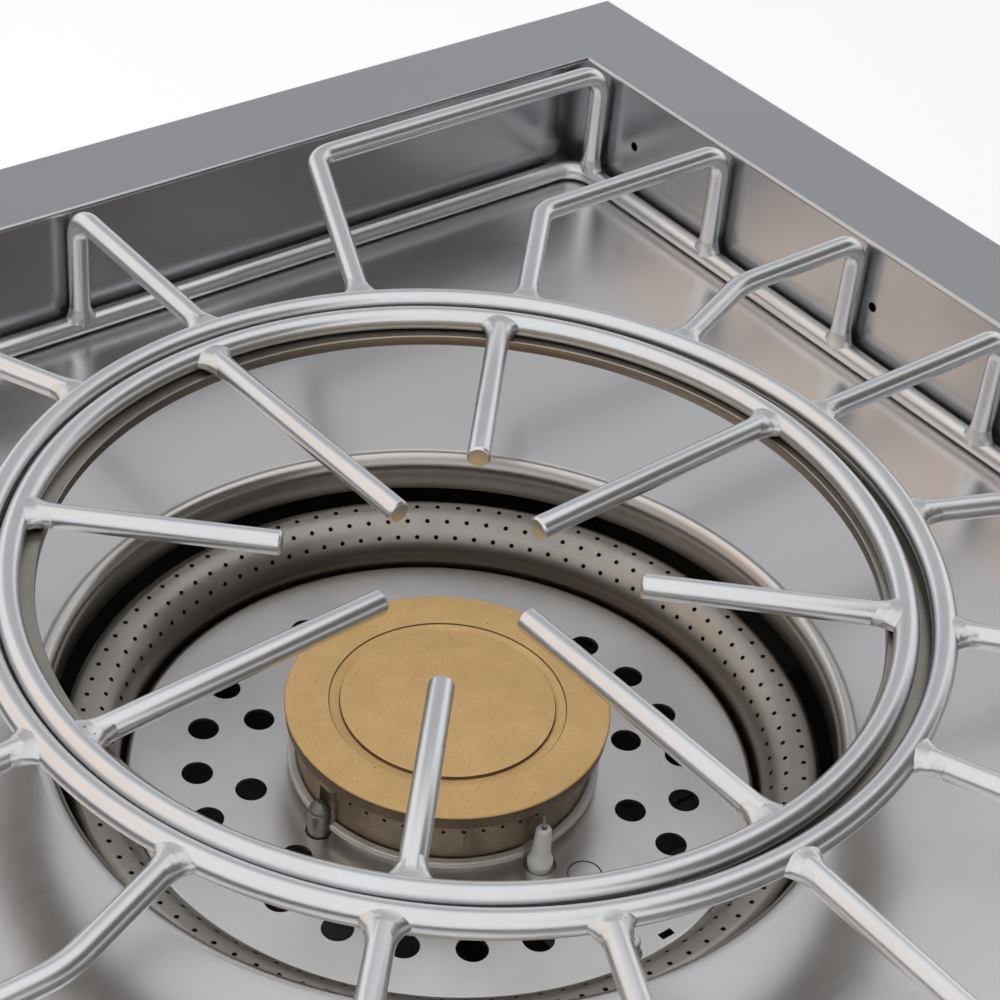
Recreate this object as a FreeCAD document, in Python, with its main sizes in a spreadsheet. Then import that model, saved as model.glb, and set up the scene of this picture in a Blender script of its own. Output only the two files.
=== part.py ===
import FreeCAD, Part
import os
from math import cos, radians, sin, tan
import Sketcher
from FreeCAD import Rotation, Vector

# Built in side burner, millimetres. The datum is the top of the counter flange on the burner's axis:
# X to the right, Y to the back, Z up. Every sub-part is drawn from that datum and placed so that
# the cabinet's underside stands at Z = 0 and the whole product is centred on the origin.

# Driving dimensions
sizes = {
    # sheet metal and the counter flange
    "gauge": 1.2,
    "overall_width": 594.0,
    "back_reach": 286.0,
    "front_reach": 350.0,
    "lip_depth": 12.0,
    "lip_return": 10.0,
    "box_clear": 20.0,
    "fold_radius": 2.0,
    "seam": 0.3,
    "unit_height": 250.0,
    # the well that the grate stands in
    "well_width": 506.0,
    "well_depth": 492.0,
    "floor_depth": 52.0,
    "ledge_width": 10.0,
    "pan_clearance": 0.6,
    "wall_hole_radius": 2.0,
    "wall_hole_drop": 26.0,
    "wall_hole_near": 67.0,
    "wall_hole_far": 211.0,
    "collar_radius": 127.0,
    "collar_bend": 6.0,
    "collar_depth": 14.0,
    # cabinet below the flange
    "box_width": 524.0,
    "box_back": 262.0,
    "tab_width": 18.0,
    "toe_gap": 15.0,
    "vent_length": 60.0,
    "vent_width": 6.0,
    "vent_pitch": 80.0,
    "vent_drop": 90.0,
    "fixing_radius": 3.0,
    "fixing_spacing": 300.0,
    "fixing_drop": 120.0,
    # round bar of the grate and of the insert
    "rod_radius": 4.0,
    "ring_height": 1.4,
    "ring_radius": 148.5,
    "insert_radius": 138.0,
    "grate_shift": 2.4,
    "insert_shift": 0.4,
    "loop_half_width": 245.0,
    "loop_half_depth": 240.0,
    "loop_corner": 12.0,
    "rest_gap": 0.3,
    "top_bend": 10.0,
    "bar_ring_inner": 131.5,
    "bar_ring_outer": 147.5,
    "bar_ring_thick": 4.0,
    "side_arm_run": 183.0,
    "side_arm_reach": 75.5,
    "side_arm_bend": 36.0,
    "diagonal_arm_run": 152.0,
    "diagonal_arm_reach": 154.0,
    "diagonal_arm_bend": 13.0,
    "corner_arm_run": 100.0,
    "corner_arm_reach": 231.0,
    "corner_arm_bend": 11.0,
    "long_finger_tip": 31.0,
    "short_finger_tip": 56.0,
    "finger_chamfer": 0.7,
    "finger_turn": 2.3,
    # ring burner
    "burner_ring_outer": 122.5,
    "burner_ring_inner": 107.0,
    "burner_ring_crest": 69.0,
    "burner_ring_seam": 88.0,
    "burner_ring_base": 108.0,
    "burner_ring_dip": 79.5,
    "burner_ring_edge": 3.5,
    "burner_ring_arch": 14.0,
    "burner_ring_skin": 1.5,
    "hem_width": 2.0,
    "tube_radius": 12.0,
    "tube_wall": 1.2,
    "tube_drop": 138.0,
    "mouth_setback": 72.0,
    "tube_bend": 16.0,
    "neck_drop": 118.0,
    "tube_lead": 50.0,
    "tube_offset_run": 100.0,
    "centre_tube_bend": 60.0,
    "window_margin": 5.0,
    "window_length": 9.0,
    "window_width": 9.0,
    "foot_width": 14.0,
    "valve_spacing": 160.0,
    # burner plate
    "plate_drop": 84.0,
    "plate_radius": 104.0,
    "plate_rim": 5.0,
    "plate_bore": 45.0,
    "plate_hole": 5.15,
    "outer_hole_circle": 80.5,
    "outer_hole_count": 24.0,
    "inner_hole_circle": 64.0,
    "inner_hole_count": 11.0,
    "inner_hole_start": -52.5,
    "inner_hole_step": 30.0,
    "plate_slot_circle": 99.0,
    "plate_slot_angle": -82.0,
    "plate_slot_length": 5.0,
    # centre burner
    "cap_radius": 53.0,
    "cap_top": 55.6,
    "cap_height": 5.4,
    "cap_taper": 0.6,
    "cap_edge": 0.8,
    "groove_outer": 38.7,
    "groove_inner": 34.9,
    "groove_depth": 1.2,
    "groove_shelf": 0.5,
    "groove_draft": 0.3,
    "cap_spigot": 3.0,
    "drum_radius": 48.3,
    "drum_wall": 4.0,
    "slot_count": 48.0,
    "slot_width": 1.6,
    "slot_height": 1.8,
    "slot_drop": 4.3,
    "flute_drop": 68.5,
    "casting_lip": 51.3,
    "lip_drop": 77.5,
    "lip_height": 2.3,
    "seat_neck": 47.0,
    "seat_drop": 78.5,
    "notch_gap": 1.6,
    "casting_wall": 4.0,
    "fit_gap": 0.5,
    "throat_radius": 20.0,
    "bridge_drop": 156.0,
    "bridge_width": 50.0,
    "bridge_height": 22.0,
    "screw_radius": 2.2,
    "screw_head_radius": 4.0,
    "screw_head_height": 2.4,
    # ignition
    "electrode_collar": 1.8,
    "electrode_shoulder": 1.3,
    "electrode_cone": 3.2,
    "electrode_tail": 16.0,
    "wire_radius": 0.6,
    "wire_reach": 5.5,
    "centre_electrode_circle": 53.2,
    "centre_electrode_angle": -91.0,
    "centre_electrode_radius": 4.3,
    "centre_electrode_top": 67.7,
    "centre_electrode_neck": 10.5,
    "ring_electrode_circle": 97.5,
    "ring_electrode_angle": -90.5,
    "ring_electrode_radius": 3.2,
    "ring_electrode_top": 77.5,
    "ring_electrode_neck": 6.5,
    "sensor_radius": 3.6,
    "sensor_collar": 1.6,
    "sensor_shoulder": 1.0,
    "sensor_cone": 4.0,
    "sensor_point": 1.3,
    "sensor_circle": 51.3,
    "sensor_angle": -177.0,
    "sensor_top": 71.5,
    # valves, knobs and gas line
    "valve_width": 26.0,
    "valve_setback": 62.0,
    "bonnet_setback": 26.0,
    "bonnet_length": 10.0,
    "stem_radius": 4.0,
    "stem_travel": 3.5,
    "stem_clearance": 0.6,
    "stem_depth": 20.0,
    "stem_flat": 18.0,
    "orifice_radius": 5.0,
    "orifice_bore": 1.0,
    "orifice_reach": 3.0,
    "igniter_width": 15.0,
    "igniter_height": 16.0,
    "manifold_drop": 165.0,
    "manifold_radius": 10.5,
    "manifold_setback": 44.0,
    "inlet_reach": 290.0,
    "inlet_radius": 7.9,
    "inlet_bore": 4.5,
    "inlet_nut": 12.0,
    "inlet_nut_length": 8.0,
    "bracket_near": 115.0,
    "bracket_far": 150.0,
    "bezel_radius": 35.0,
    "bezel_depth": 8.0,
    "bezel_floor": 1.5,
    "bezel_gap": 2.5,
    "knob_radius": 24.0,
    "knob_skirt": 29.0,
    "knob_reach": 42.0,
    "knob_cover": 3.0,
    "knob_wall": 2.5,
    "skirt_depth": 6.0,
    "flute_count": 12.0,
    "flute_radius": 8.0,
    "flute_depth": 1.6,
    "flute_length": 20.0,
    "pointer_width": 2.5,
    "pointer_depth": 0.8,
    "shutter_clearance": 0.3,
    "shutter_wall": 1.0,
    "shutter_length": 20.0,
}

doc = FreeCAD.newDocument("side_burner")
sheet = doc.addObject("Spreadsheet::Sheet", "Sizes")
for row, (alias, number) in enumerate(sizes.items(), start=1):
    sheet.set(f"A{row}", alias)
    sheet.set(f"B{row}", str(number))
    sheet.setAlias(f"B{row}", alias)
doc.recompute()


class Size(float):
    """A number that keeps the sheet expression it came from."""

    def __new__(cls, number, text):
        made = super().__new__(cls, number)
        made.text = text
        return made

    def join(self, other, sign, number):
        return Size(number, f"({words(self)} {sign} {words(other)})")

    def __add__(self, other):
        return self.join(other, "+", float(self) + float(other))

    def __sub__(self, other):
        return self.join(other, "-", float(self) - float(other))

    def __mul__(self, other):
        return self.join(other, "*", float(self) * float(other))

    def __truediv__(self, other):
        return self.join(other, "/", float(self) / float(other))

    def __neg__(self):
        return Size(-float(self), f"(0 - {self.text})")

    def __radd__(self, other):
        return Size(other, str(other)) + self

    def __rsub__(self, other):
        return Size(other, str(other)) - self


def root_of(value):
    return Size(float(value) ** 0.5, f"sqrt({value.text})")


def words(value):
    return value.text if isinstance(value, Size) else str(value)


def size(alias):
    return Size(sheet.get(alias), f"Sizes.{alias}")


def bind(item, name, value):
    """Sets a property and keeps it tied to the sheet."""
    if isinstance(value, Size):
        item.setExpression(name, value.text)
    elif "." not in name:
        setattr(item, name, value)
    elif value:
        item.setExpression(name, str(value))


# Every sub-part's place is counted from the datum, and the datum from the product's own origin
burner_y = (size("front_reach") + size("knob_reach") - size("back_reach")) / 2
datum_height = size("unit_height")
parts = {}


def finish(item, label, x=0, y=0, z=0):
    """Labels a sub-part and places it from the datum."""
    item.Label = label
    bind(item, "Placement.Base.x", x)
    bind(item, "Placement.Base.y", burner_y + y)
    bind(item, "Placement.Base.z", datum_height + z)
    parts[label] = item
    return item


def make_feature(label, shape, x=0, y=0, z=0):
    """A sub-part whose shape comes straight from Part, placed like the others."""
    item = doc.addObject("Part::Feature", label)
    item.Shape = shape
    return finish(item, label, x, y, z)


def new_body(label):
    return doc.addObject("PartDesign::Body", label)


def origin_plane(body, role):
    return next(item for item in body.Origin.OriginFeatures if item.Role == role)


def new_sketch(body, role, level=0):
    sketch = body.newObject("Sketcher::SketchObject", f"{body.Name}_sketch")
    sketch.AttachmentSupport = (origin_plane(body, role), "")
    sketch.MapMode = "FlatFace"
    bind(sketch, "AttachmentOffset.Base.z", level)
    return sketch


def pin(sketch, geometry, point, x, y):
    """Ties one sketch point to two sizes measured from the sketch's origin."""
    for kind, value, axis in (("DistanceX", x, -2), ("DistanceY", y, -1)):
        if value == 0:
            sketch.addConstraint(Sketcher.Constraint("PointOnObject", geometry, point, axis))
        else:
            row = sketch.addConstraint(Sketcher.Constraint(kind, geometry, point, float(value)))
            bind(sketch, f"Constraints[{row}]", value)


def draw_outline(sketch, points):
    """Closes a loop through the points. A third value on a point is the radius of the arc that
    leaves it, positive where the arc turns left."""
    first = sketch.GeometryCount
    count = len(points)
    for index, point in enumerate(points):
        start = Vector(point[0], point[1], 0)
        after = points[(index + 1) % count]
        end = Vector(after[0], after[1], 0)
        if len(point) == 2:
            sketch.addGeometry(Part.LineSegment(start, end))
            continue
        chord = end - start
        side = Vector(-chord.y, chord.x, 0).normalize()
        reach = (float(point[2]) ** 2 - (chord.Length / 2) ** 2) ** 0.5
        turn = 1 if point[2] > 0 else -1
        centre = (start + end) / 2 + side * reach * turn
        middle = centre - side * abs(point[2]) * turn
        arc = Part.Arc(start, middle, end)
        sketch.addGeometry(arc)
    for index, point in enumerate(points):
        geometry = first + index
        after = first + (index + 1) % count
        leaving = 2 if len(point) == 2 or point[2] > 0 else 1
        following = points[(index + 1) % count]
        entering = 1 if len(following) == 2 or following[2] > 0 else 2
        sketch.addConstraint(Sketcher.Constraint("Coincident", geometry, leaving, after, entering))
    for index, point in enumerate(points):
        start = 1 if len(point) == 2 or point[2] > 0 else 2
        pin(sketch, first + index, start, point[0], point[1])
        if len(point) == 3:
            radius = point[2] if point[2] > 0 else -point[2]
            row = sketch.addConstraint(Sketcher.Constraint("Radius", first + index, float(radius)))
            bind(sketch, f"Constraints[{row}]", radius)


def draw_rectangle(sketch, left, low, right, high):
    draw_outline(sketch, [(left, low), (right, low), (right, high), (left, high)])


def draw_circle(sketch, x, y, radius):
    geometry = sketch.addGeometry(Part.Circle(Vector(x, y, 0), Vector(0, 0, 1), float(radius)))
    pin(sketch, geometry, 3, x, y)
    row = sketch.addConstraint(Sketcher.Constraint("Radius", geometry, float(radius)))
    bind(sketch, f"Constraints[{row}]", radius)


def pad(body, sketch, length, both_ways=False):
    feature = body.newObject("PartDesign::Pad", f"{body.Name}_pad")
    feature.Profile = sketch
    feature.Midplane = both_ways
    bind(feature, "Length", length)
    return feature


def pocket(body, sketch, length, backwards=False):
    """Cuts the sketch into the body and makes sure that it met the metal."""
    doc.recompute()
    before = body.Shape.Volume
    feature = body.newObject("PartDesign::Pocket", f"{body.Name}_pocket")
    feature.Profile = sketch
    feature.Reversed = backwards
    bind(feature, "Length", length)
    doc.recompute()
    if body.Shape.Volume > before - 1e-6:
        raise ValueError(f"{body.Label}: a pocket cuts nothing")
    return feature


def revolve(body, sketch, axis="V_Axis"):
    feature = body.newObject("PartDesign::Revolution", f"{body.Name}_revolution")
    feature.Profile = sketch
    feature.ReferenceAxis = (sketch, [axis])
    feature.Angle = 360
    return feature


def polar(body, feature, count, role="Z_Axis"):
    pattern = body.newObject("PartDesign::PolarPattern", f"{body.Name}_polar")
    pattern.Originals = [feature]
    pattern.Axis = (origin_plane(body, role), [""])
    pattern.Angle = 360
    bind(pattern, "Occurrences", count)
    body.Tip = pattern
    doc.recompute()
    return pattern


def soften(body, radius, chosen):
    """Rounds the edges that the rule chooses."""
    doc.recompute()
    tip = body.Tip
    names = [f"Edge{row}" for row, edge in enumerate(tip.Shape.Edges, start=1) if chosen(edge)]
    if not names:
        raise ValueError(f"{body.Label}: no edge to round")
    feature = body.newObject("PartDesign::Fillet", f"{body.Name}_fillet")
    feature.Base = (tip, names)
    bind(feature, "Radius", radius)
    doc.recompute()
    return feature


def near(value, wanted):
    return abs(value - wanted) < 0.02


def rim(radius, along, axis=2):
    """Chooses the round edges of one radius at one height along an axis."""
    def chosen(edge):
        round_edge = edge.Curve.TypeId == "Part::GeomCircle"
        return round_edge and near(edge.Curve.Radius, radius) and near(edge.CenterOfMass[axis], along)
    return chosen


def turned(label, points, role="XZ_Plane", axis="V_Axis"):
    """A body turned about an axis of its sketch: points are radius and height, or along and
    radius where the axis lies flat."""
    body = new_body(label)
    sketch = new_sketch(body, role)
    draw_outline(sketch, points)
    revolve(body, sketch, axis)
    doc.recompute()
    return body


def bent_path(points, bends):
    """Straight runs through the points, joined by tangent arcs."""
    edges = []
    start = points[0]
    for before, corner, after, bend in zip(points, points[1:], points[2:], bends):
        back = (before - corner).normalize()
        ahead = (after - corner).normalize()
        half = back.getAngle(ahead) / 2
        middle_way = (back + ahead).normalize()
        reach = bend / tan(half)
        centre = corner + middle_way * (bend / sin(half))
        edges.append(Part.LineSegment(start, corner + back * reach).toShape())
        arc = Part.Arc(corner + back * reach, centre - middle_way * bend, corner + ahead * reach)
        edges.append(arc.toShape())
        start = corner + ahead * reach
    edges.append(Part.LineSegment(start, points[-1]).toShape())
    return Part.Wire(edges)


def bent_rod(points, bends, radius):
    """Round bar, or the outside or the bore of a tube, along a bent path."""
    path = bent_path(points, bends)
    section = Part.Circle(points[0], points[1] - points[0], radius).toShape()
    return path.makePipeShell([Part.Wire([section])], True, True)


gauge = size("gauge")
half_width = size("overall_width") / 2
back_reach = size("back_reach")
front_reach = size("front_reach")
well_x = size("well_width") / 2
well_y = size("well_depth") / 2
floor_depth = size("floor_depth")
box_x = size("box_width") / 2
box_back = size("box_back")
panel_height = size("unit_height") - size("toe_gap")
rod = size("rod_radius")
# The gas parts keep their distance from the control panel
tube_mouth = front_reach - size("mouth_setback")
valve_back = front_reach - size("valve_setback")
valve_front = front_reach - size("bonnet_setback")
manifold_y = size("manifold_setback") - front_reach


# Top frame: the counter flange with its turned-down lip, the well's four walls and the pan ledge
def make_top_frame():
    body = new_body("top_frame")
    flange = new_sketch(body, "XY_Plane", -gauge)
    draw_rectangle(flange, -half_width, -front_reach, half_width, back_reach)
    draw_rectangle(flange, -well_x, -well_y, well_x, well_y)
    pad(body, flange, gauge)
    walls = new_sketch(body, "XY_Plane", -floor_depth - gauge * 2)
    draw_rectangle(walls, -well_x - gauge, -well_y - gauge, well_x + gauge, well_y + gauge)
    draw_rectangle(walls, -well_x, -well_y, well_x, well_y)
    pad(body, walls, floor_depth + gauge * 1.5)
    ledge = new_sketch(body, "XY_Plane", -floor_depth - gauge * 2)
    inner_x = well_x - size("ledge_width")
    inner_y = well_y - size("ledge_width")
    draw_rectangle(ledge, -well_x - gauge / 2, -well_y - gauge / 2, well_x + gauge / 2, well_y + gauge / 2)
    draw_rectangle(ledge, -inner_x, -inner_y, inner_x, inner_y)
    pad(body, ledge, gauge)
    lip = new_sketch(body, "XY_Plane", -size("lip_depth"))
    draw_rectangle(lip, -half_width, -front_reach, half_width, back_reach)
    draw_rectangle(lip, gauge - half_width, gauge - front_reach, half_width - gauge, back_reach - gauge)
    pad(body, lip, size("lip_depth") - gauge / 2)
    rest = new_sketch(body, "XY_Plane", -size("lip_depth"))
    rest_x = half_width - size("lip_return")
    rest_front = size("box_clear") - front_reach
    draw_outline(rest, [
        (-half_width, rest_front),
        (-rest_x, rest_front),
        (-rest_x, back_reach - size("lip_return")),
        (rest_x, back_reach - size("lip_return")),
        (rest_x, rest_front),
        (half_width, rest_front),
        (half_width, back_reach),
        (-half_width, back_reach),
    ])
    pad(body, rest, gauge)
    # The front of the lip stops short of the control panel, so only the other three sides rest
    relief = new_sketch(body, "XY_Plane", -size("lip_depth"))
    draw_rectangle(relief, -half_width, -front_reach, half_width, rest_front)
    pocket(body, relief, size("seam"), True)
    for side in (-1, 1):
        holes = new_sketch(body, "YZ_Plane", well_x * side)
        for reach in ("wall_hole_near", "wall_hole_far"):
            for end in (-1, 1):
                draw_circle(holes, size(reach) * end, -size("wall_hole_drop"), size("wall_hole_radius"))
        pocket(body, holes, gauge, side > 0)
    soften(body, size("fold_radius"), folded_edge)
    return finish(body, "top_frame")


def folded_edge(edge):
    """The flange's outer and inner top edges."""
    box = edge.BoundBox
    return near(box.ZMin, 0) and near(box.ZMax, 0)


make_top_frame()


# Drip pan: a flat floor on the ledge, drawn down round the burners in a rolled collar
def make_drip_pan():
    body = new_body("drip_pan")
    pan_x = well_x - size("pan_clearance")
    pan_y = well_y - size("pan_clearance")
    collar = size("collar_radius")
    bend = size("collar_bend")
    floor = new_sketch(body, "XY_Plane", -floor_depth - gauge)
    draw_rectangle(floor, -pan_x, -pan_y, pan_x, pan_y)
    draw_circle(floor, 0, 0, collar + bend)
    pad(body, floor, gauge)
    rolled = new_sketch(body, "XZ_Plane")
    draw_outline(rolled, [
        (collar + bend, -floor_depth - gauge),
        (collar + bend, -floor_depth, bend),
        (collar, -floor_depth - bend),
        (collar, -floor_depth - size("collar_depth")),
        (collar + gauge, -floor_depth - size("collar_depth")),
        (collar + gauge, -floor_depth - bend, gauge - bend),
    ])
    revolve(body, rolled)
    return finish(body, "drip_pan")


make_drip_pan()


# Cabinet sides: main sheet, outward tab behind the control panel, inward feet that the unit stands on
def make_side_panel(label, side):
    body = new_body(label)
    outer = box_x * side
    inner = (box_x - gauge) * side
    front = gauge - front_reach
    bottom = -size("unit_height")
    low, high = (inner, outer) if side > 0 else (outer, inner)
    sheet_metal = new_sketch(body, "XY_Plane", bottom)
    draw_rectangle(sheet_metal, low, front, high, box_back)
    pad(body, sheet_metal, size("unit_height") - gauge)
    tab = new_sketch(body, "XY_Plane", -panel_height)
    tab_end = (box_x + size("tab_width")) * side
    low, high = (inner, tab_end) if side > 0 else (tab_end, inner)
    draw_rectangle(tab, low, front, high, front + gauge)
    pad(body, tab, panel_height - size("lip_depth") - size("seam"))
    foot = new_sketch(body, "XY_Plane", bottom)
    foot_end = (box_x - size("tab_width")) * side
    low, high = (foot_end, outer) if side > 0 else (outer, foot_end)
    draw_rectangle(foot, low, front, high, box_back)
    pad(body, foot, gauge)
    holes = new_sketch(body, "YZ_Plane", outer)
    for end in (-1, 1):
        draw_circle(holes, size("fixing_spacing") / 2 * end, -size("fixing_drop"), size("fixing_radius"))
    for place in (-1, 1):
        hole_z = -size("bridge_drop") - size("bridge_height") / 2
        draw_circle(holes, size("bridge_width") / 4 * place, hole_z, size("screw_radius"))
    pocket(body, holes, gauge, side < 0)
    if side > 0:
        inlet = new_sketch(body, "YZ_Plane", outer)
        hole = size("manifold_radius") + size("stem_clearance")
        draw_circle(inlet, manifold_y, -size("manifold_drop"), hole)
        pocket(body, inlet, gauge)
    return finish(body, label)


make_side_panel("left_side_panel", -1)
make_side_panel("right_side_panel", 1)


# Back panel between the sides, with tabs forward and a row of vent slots
def make_back_panel():
    body = new_body("back_panel")
    inner = box_x - gauge
    low = gauge * 2 - size("unit_height")
    face = new_sketch(body, "XY_Plane", low)
    tab = box_back - size("tab_width")
    draw_outline(face, [
        (-inner, tab),
        (gauge - inner, tab),
        (gauge - inner, box_back - gauge),
        (inner - gauge, box_back - gauge),
        (inner - gauge, tab),
        (inner, tab),
        (inner, box_back),
        (-inner, box_back),
    ])
    pad(body, face, -low - gauge)
    vent = new_sketch(body, "XZ_Plane", -box_back)
    half = size("vent_length") / 2
    drop = size("vent_drop")
    draw_rectangle(vent, -half, -drop - size("vent_width"), half, -drop)
    cut = pocket(body, vent, gauge, True)
    spread_along_x(body, cut)
    return finish(body, "back_panel")


def spread_along_x(body, cut, count=5):
    """Repeats one middle cut along X at the vents' pitch, both ways."""
    patterns = []
    for backwards in (False, True):
        pattern = body.newObject("PartDesign::LinearPattern", f"{body.Name}_linear")
        pattern.Originals = [cut]
        pattern.Direction = (origin_plane(body, "X_Axis"), [""])
        pattern.Reversed = backwards
        pattern.Occurrences = count // 2 + 1
        bind(pattern, "Length", size("vent_pitch") * (count // 2))
        body.Tip = pattern
        doc.recompute()
        patterns.append(pattern)
    return patterns


make_back_panel()


# Bottom panel: a shallow tray on the feet, turned up at its front and back
def make_bottom_panel():
    body = new_body("bottom_panel")
    inner = box_x - gauge
    low = gauge - size("unit_height")
    front = size("tab_width") + size("seam") - front_reach
    floor = new_sketch(body, "XY_Plane", low)
    draw_rectangle(floor, -inner, front, inner, box_back)
    pad(body, floor, gauge)
    wall_x = inner - gauge - size("seam")
    back = box_back - gauge
    walls = new_sketch(body, "XY_Plane", low)
    draw_rectangle(walls, -wall_x, front, wall_x, front + gauge)
    draw_rectangle(walls, -wall_x, back - gauge, wall_x, back)
    pad(body, walls, size("tab_width"))
    vents = new_sketch(body, "XY_Plane", low)
    half = size("vent_length") / 2
    for row in (-1, 1):
        middle = size("vent_pitch") * row
        draw_rectangle(vents, -half, middle, half, middle + size("vent_width"))
    cut = pocket(body, vents, gauge, True)
    spread_along_x(body, cut)
    return finish(body, "bottom_panel")


make_bottom_panel()


# Heat shield against the well's front wall, with a hole for each mixing tube and a foot to the back
def make_heat_shield():
    body = new_body("heat_shield")
    inner = box_x - gauge
    back = -well_y - gauge
    low = gauge * 2 - size("unit_height")
    face = new_sketch(body, "XY_Plane", low)
    draw_rectangle(face, -inner, back - gauge, inner, back)
    pad(body, face, -low - size("lip_depth"))
    foot = new_sketch(body, "XY_Plane", low)
    draw_rectangle(foot, -inner, back - gauge, inner, back + size("tab_width"))
    pad(body, foot, gauge)
    holes = new_sketch(body, "XZ_Plane", -back)
    for side in (-1, 1):
        hole = size("tube_radius") + size("stem_clearance")
        draw_circle(holes, size("valve_spacing") / 2 * side, -size("tube_drop"), hole)
    pocket(body, holes, gauge, True)
    return finish(body, "heat_shield")


make_heat_shield()


# Control panel: the face below the flange's front lip, with side returns and a bottom return
def make_control_panel():
    body = new_body("control_panel")
    top = -size("lip_depth") - size("seam")
    bottom = -panel_height
    side_tab = size("tab_width") - front_reach
    face = new_sketch(body, "XY_Plane", bottom)
    draw_outline(face, [
        (-half_width, -front_reach),
        (half_width, -front_reach),
        (half_width, side_tab),
        (half_width - gauge, side_tab),
        (half_width - gauge, gauge - front_reach),
        (gauge - half_width, gauge - front_reach),
        (gauge - half_width, side_tab),
        (-half_width, side_tab),
    ])
    pad(body, face, top - bottom)
    inner = box_x - gauge - size("seam")
    turn = new_sketch(body, "XY_Plane", bottom)
    draw_rectangle(turn, -inner, -front_reach, inner, side_tab)
    pad(body, turn, gauge)
    holes = new_sketch(body, "XZ_Plane", front_reach)
    for side in (-1, 1):
        hole = size("stem_radius") + size("stem_clearance")
        draw_circle(holes, size("valve_spacing") / 2 * side, -size("tube_drop"), hole)
    pocket(body, holes, gauge)
    soften(body, size("fold_radius"), front_corner)
    return finish(body, "control_panel")


def front_corner(edge):
    """The face's two upright outer edges."""
    box = edge.BoundBox
    upright = near(box.XMin, box.XMax) and near(box.YMin, -front_reach) and near(box.YMax, -front_reach)
    return upright and near(abs(box.XMin), half_width)


make_control_panel()


# Burner bridge: a channel across the cabinet that carries both burners
def make_burner_bridge():
    body = new_body("burner_bridge")
    half = size("bridge_width") / 2
    top = -size("bridge_drop")
    low = top - size("bridge_height")
    profile = new_sketch(body, "YZ_Plane")
    draw_outline(profile, [
        (-half, low),
        (gauge - half, low),
        (gauge - half, top - gauge),
        (half - gauge, top - gauge),
        (half - gauge, low),
        (half, low),
        (half, top),
        (-half, top),
    ])
    pad(body, profile, size("box_width") - gauge * 2, True)
    end = box_x - gauge
    for side in (-1, 1):
        tab = new_sketch(body, "YZ_Plane", end * side)
        draw_rectangle(tab, -half, low, half, top)
        for place in (-1, 1):
            draw_circle(tab, half / 2 * place, (low + top) / 2, size("screw_radius"))
        feature = pad(body, tab, gauge)
        feature.Reversed = side > 0
    return finish(body, "burner_bridge")


# Four screws through the cabinet sides into the bridge's end tabs
def make_bridge_screws():
    shank = size("screw_radius")
    head = size("screw_head_radius")
    height = size("screw_head_height")
    grip = gauge * 4
    middle = size("bridge_width") / 4
    screws = []
    for side in (-1, 1):
        for place in (-1, 1):
            seat = Vector(box_x * side, middle * place, -size("bridge_drop") - size("bridge_height") / 2)
            outward = Vector(side, 0, 0)
            cap = Part.makeCylinder(head, height, seat, outward)
            rim_edges = [edge for edge in cap.Edges if near(edge.CenterOfMass.x, (box_x + height) * side)]
            cap = cap.makeFillet(height / 2, rim_edges)
            shaft = Part.makeCylinder(shank - size("seam") / 2, grip, seat, -outward)
            screws.append(cap.fuse(shaft))
    return make_feature("bridge_screws", Part.makeCompound(screws))


make_bridge_screws()


make_burner_bridge()


# Ring burner: an arched cover with its ports' slope inwards, hemmed on a lower channel
ring_outer = size("burner_ring_outer")
ring_inner = size("burner_ring_inner")
ring_seam = size("burner_ring_seam")
ring_base = size("burner_ring_base")
skin = size("burner_ring_skin")


def make_ring_cover():
    crest = size("burner_ring_crest")
    dip = size("burner_ring_dip")
    edge = size("burner_ring_edge")
    arch = size("burner_ring_arch")
    body = turned("ring_burner_cover", [
        (ring_inner, -ring_seam),
        (ring_outer, -ring_seam),
        (ring_outer, -crest - edge, edge),
        (ring_outer - edge, -crest, arch),
        (ring_inner, -dip),
    ])
    hollow = new_sketch(body, "XZ_Plane")
    draw_outline(hollow, [
        (ring_inner + skin, -ring_seam),
        (ring_outer - skin, -ring_seam),
        (ring_outer - skin, -crest - edge, edge - skin),
        (ring_outer - edge, -crest - skin, arch - skin),
        (ring_inner + skin, -dip),
    ])
    groove(body, hollow)
    hem = new_sketch(body, "XY_Plane", -ring_seam)
    draw_circle(hem, 0, 0, ring_outer + size("hem_width"))
    draw_circle(hem, 0, 0, ring_outer - skin / 2)
    pad(body, hem, gauge)
    return finish(body, "ring_burner_cover")


def groove(body, sketch, axis="V_Axis"):
    """Turns the sketch out of the body and makes sure that it met the metal."""
    doc.recompute()
    before = body.Shape.Volume
    feature = body.newObject("PartDesign::Groove", f"{body.Name}_groove")
    feature.Profile = sketch
    feature.ReferenceAxis = (sketch, [axis])
    feature.Angle = 360
    doc.recompute()
    if body.Shape.Volume > before - 1e-6:
        raise ValueError(f"{body.Label}: a groove cuts nothing")
    return feature


make_ring_cover()


def make_ring_channel():
    hem = ring_outer + size("hem_width")
    body = turned("ring_burner_channel", [
        (ring_inner, -ring_base),
        (ring_outer, -ring_base),
        (ring_outer, -ring_seam - gauge),
        (hem, -ring_seam - gauge),
        (hem, -ring_seam),
        (ring_outer - skin, -ring_seam),
        (ring_outer - skin, skin - ring_base),
        (ring_inner + skin, skin - ring_base),
        (ring_inner + skin, -ring_seam),
        (ring_inner, -ring_seam),
    ])
    soften(body, size("burner_ring_skin"), rim(ring_outer, -ring_base))
    inlet = new_sketch(body, "XY_Plane", -ring_base)
    draw_circle(inlet, ring_inlet_x, ring_inlet_y, size("tube_radius") / 2)
    pocket(body, inlet, skin, True)
    return finish(body, "ring_burner_channel")


valve_x = size("valve_spacing") / 2
tube_z = -size("tube_drop")
ring_middle = (ring_outer + ring_inner) / 2
ring_inlet_x = -valve_x
ring_inlet_y = -root_of(ring_middle * ring_middle - valve_x * valve_x)
make_ring_channel()


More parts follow.
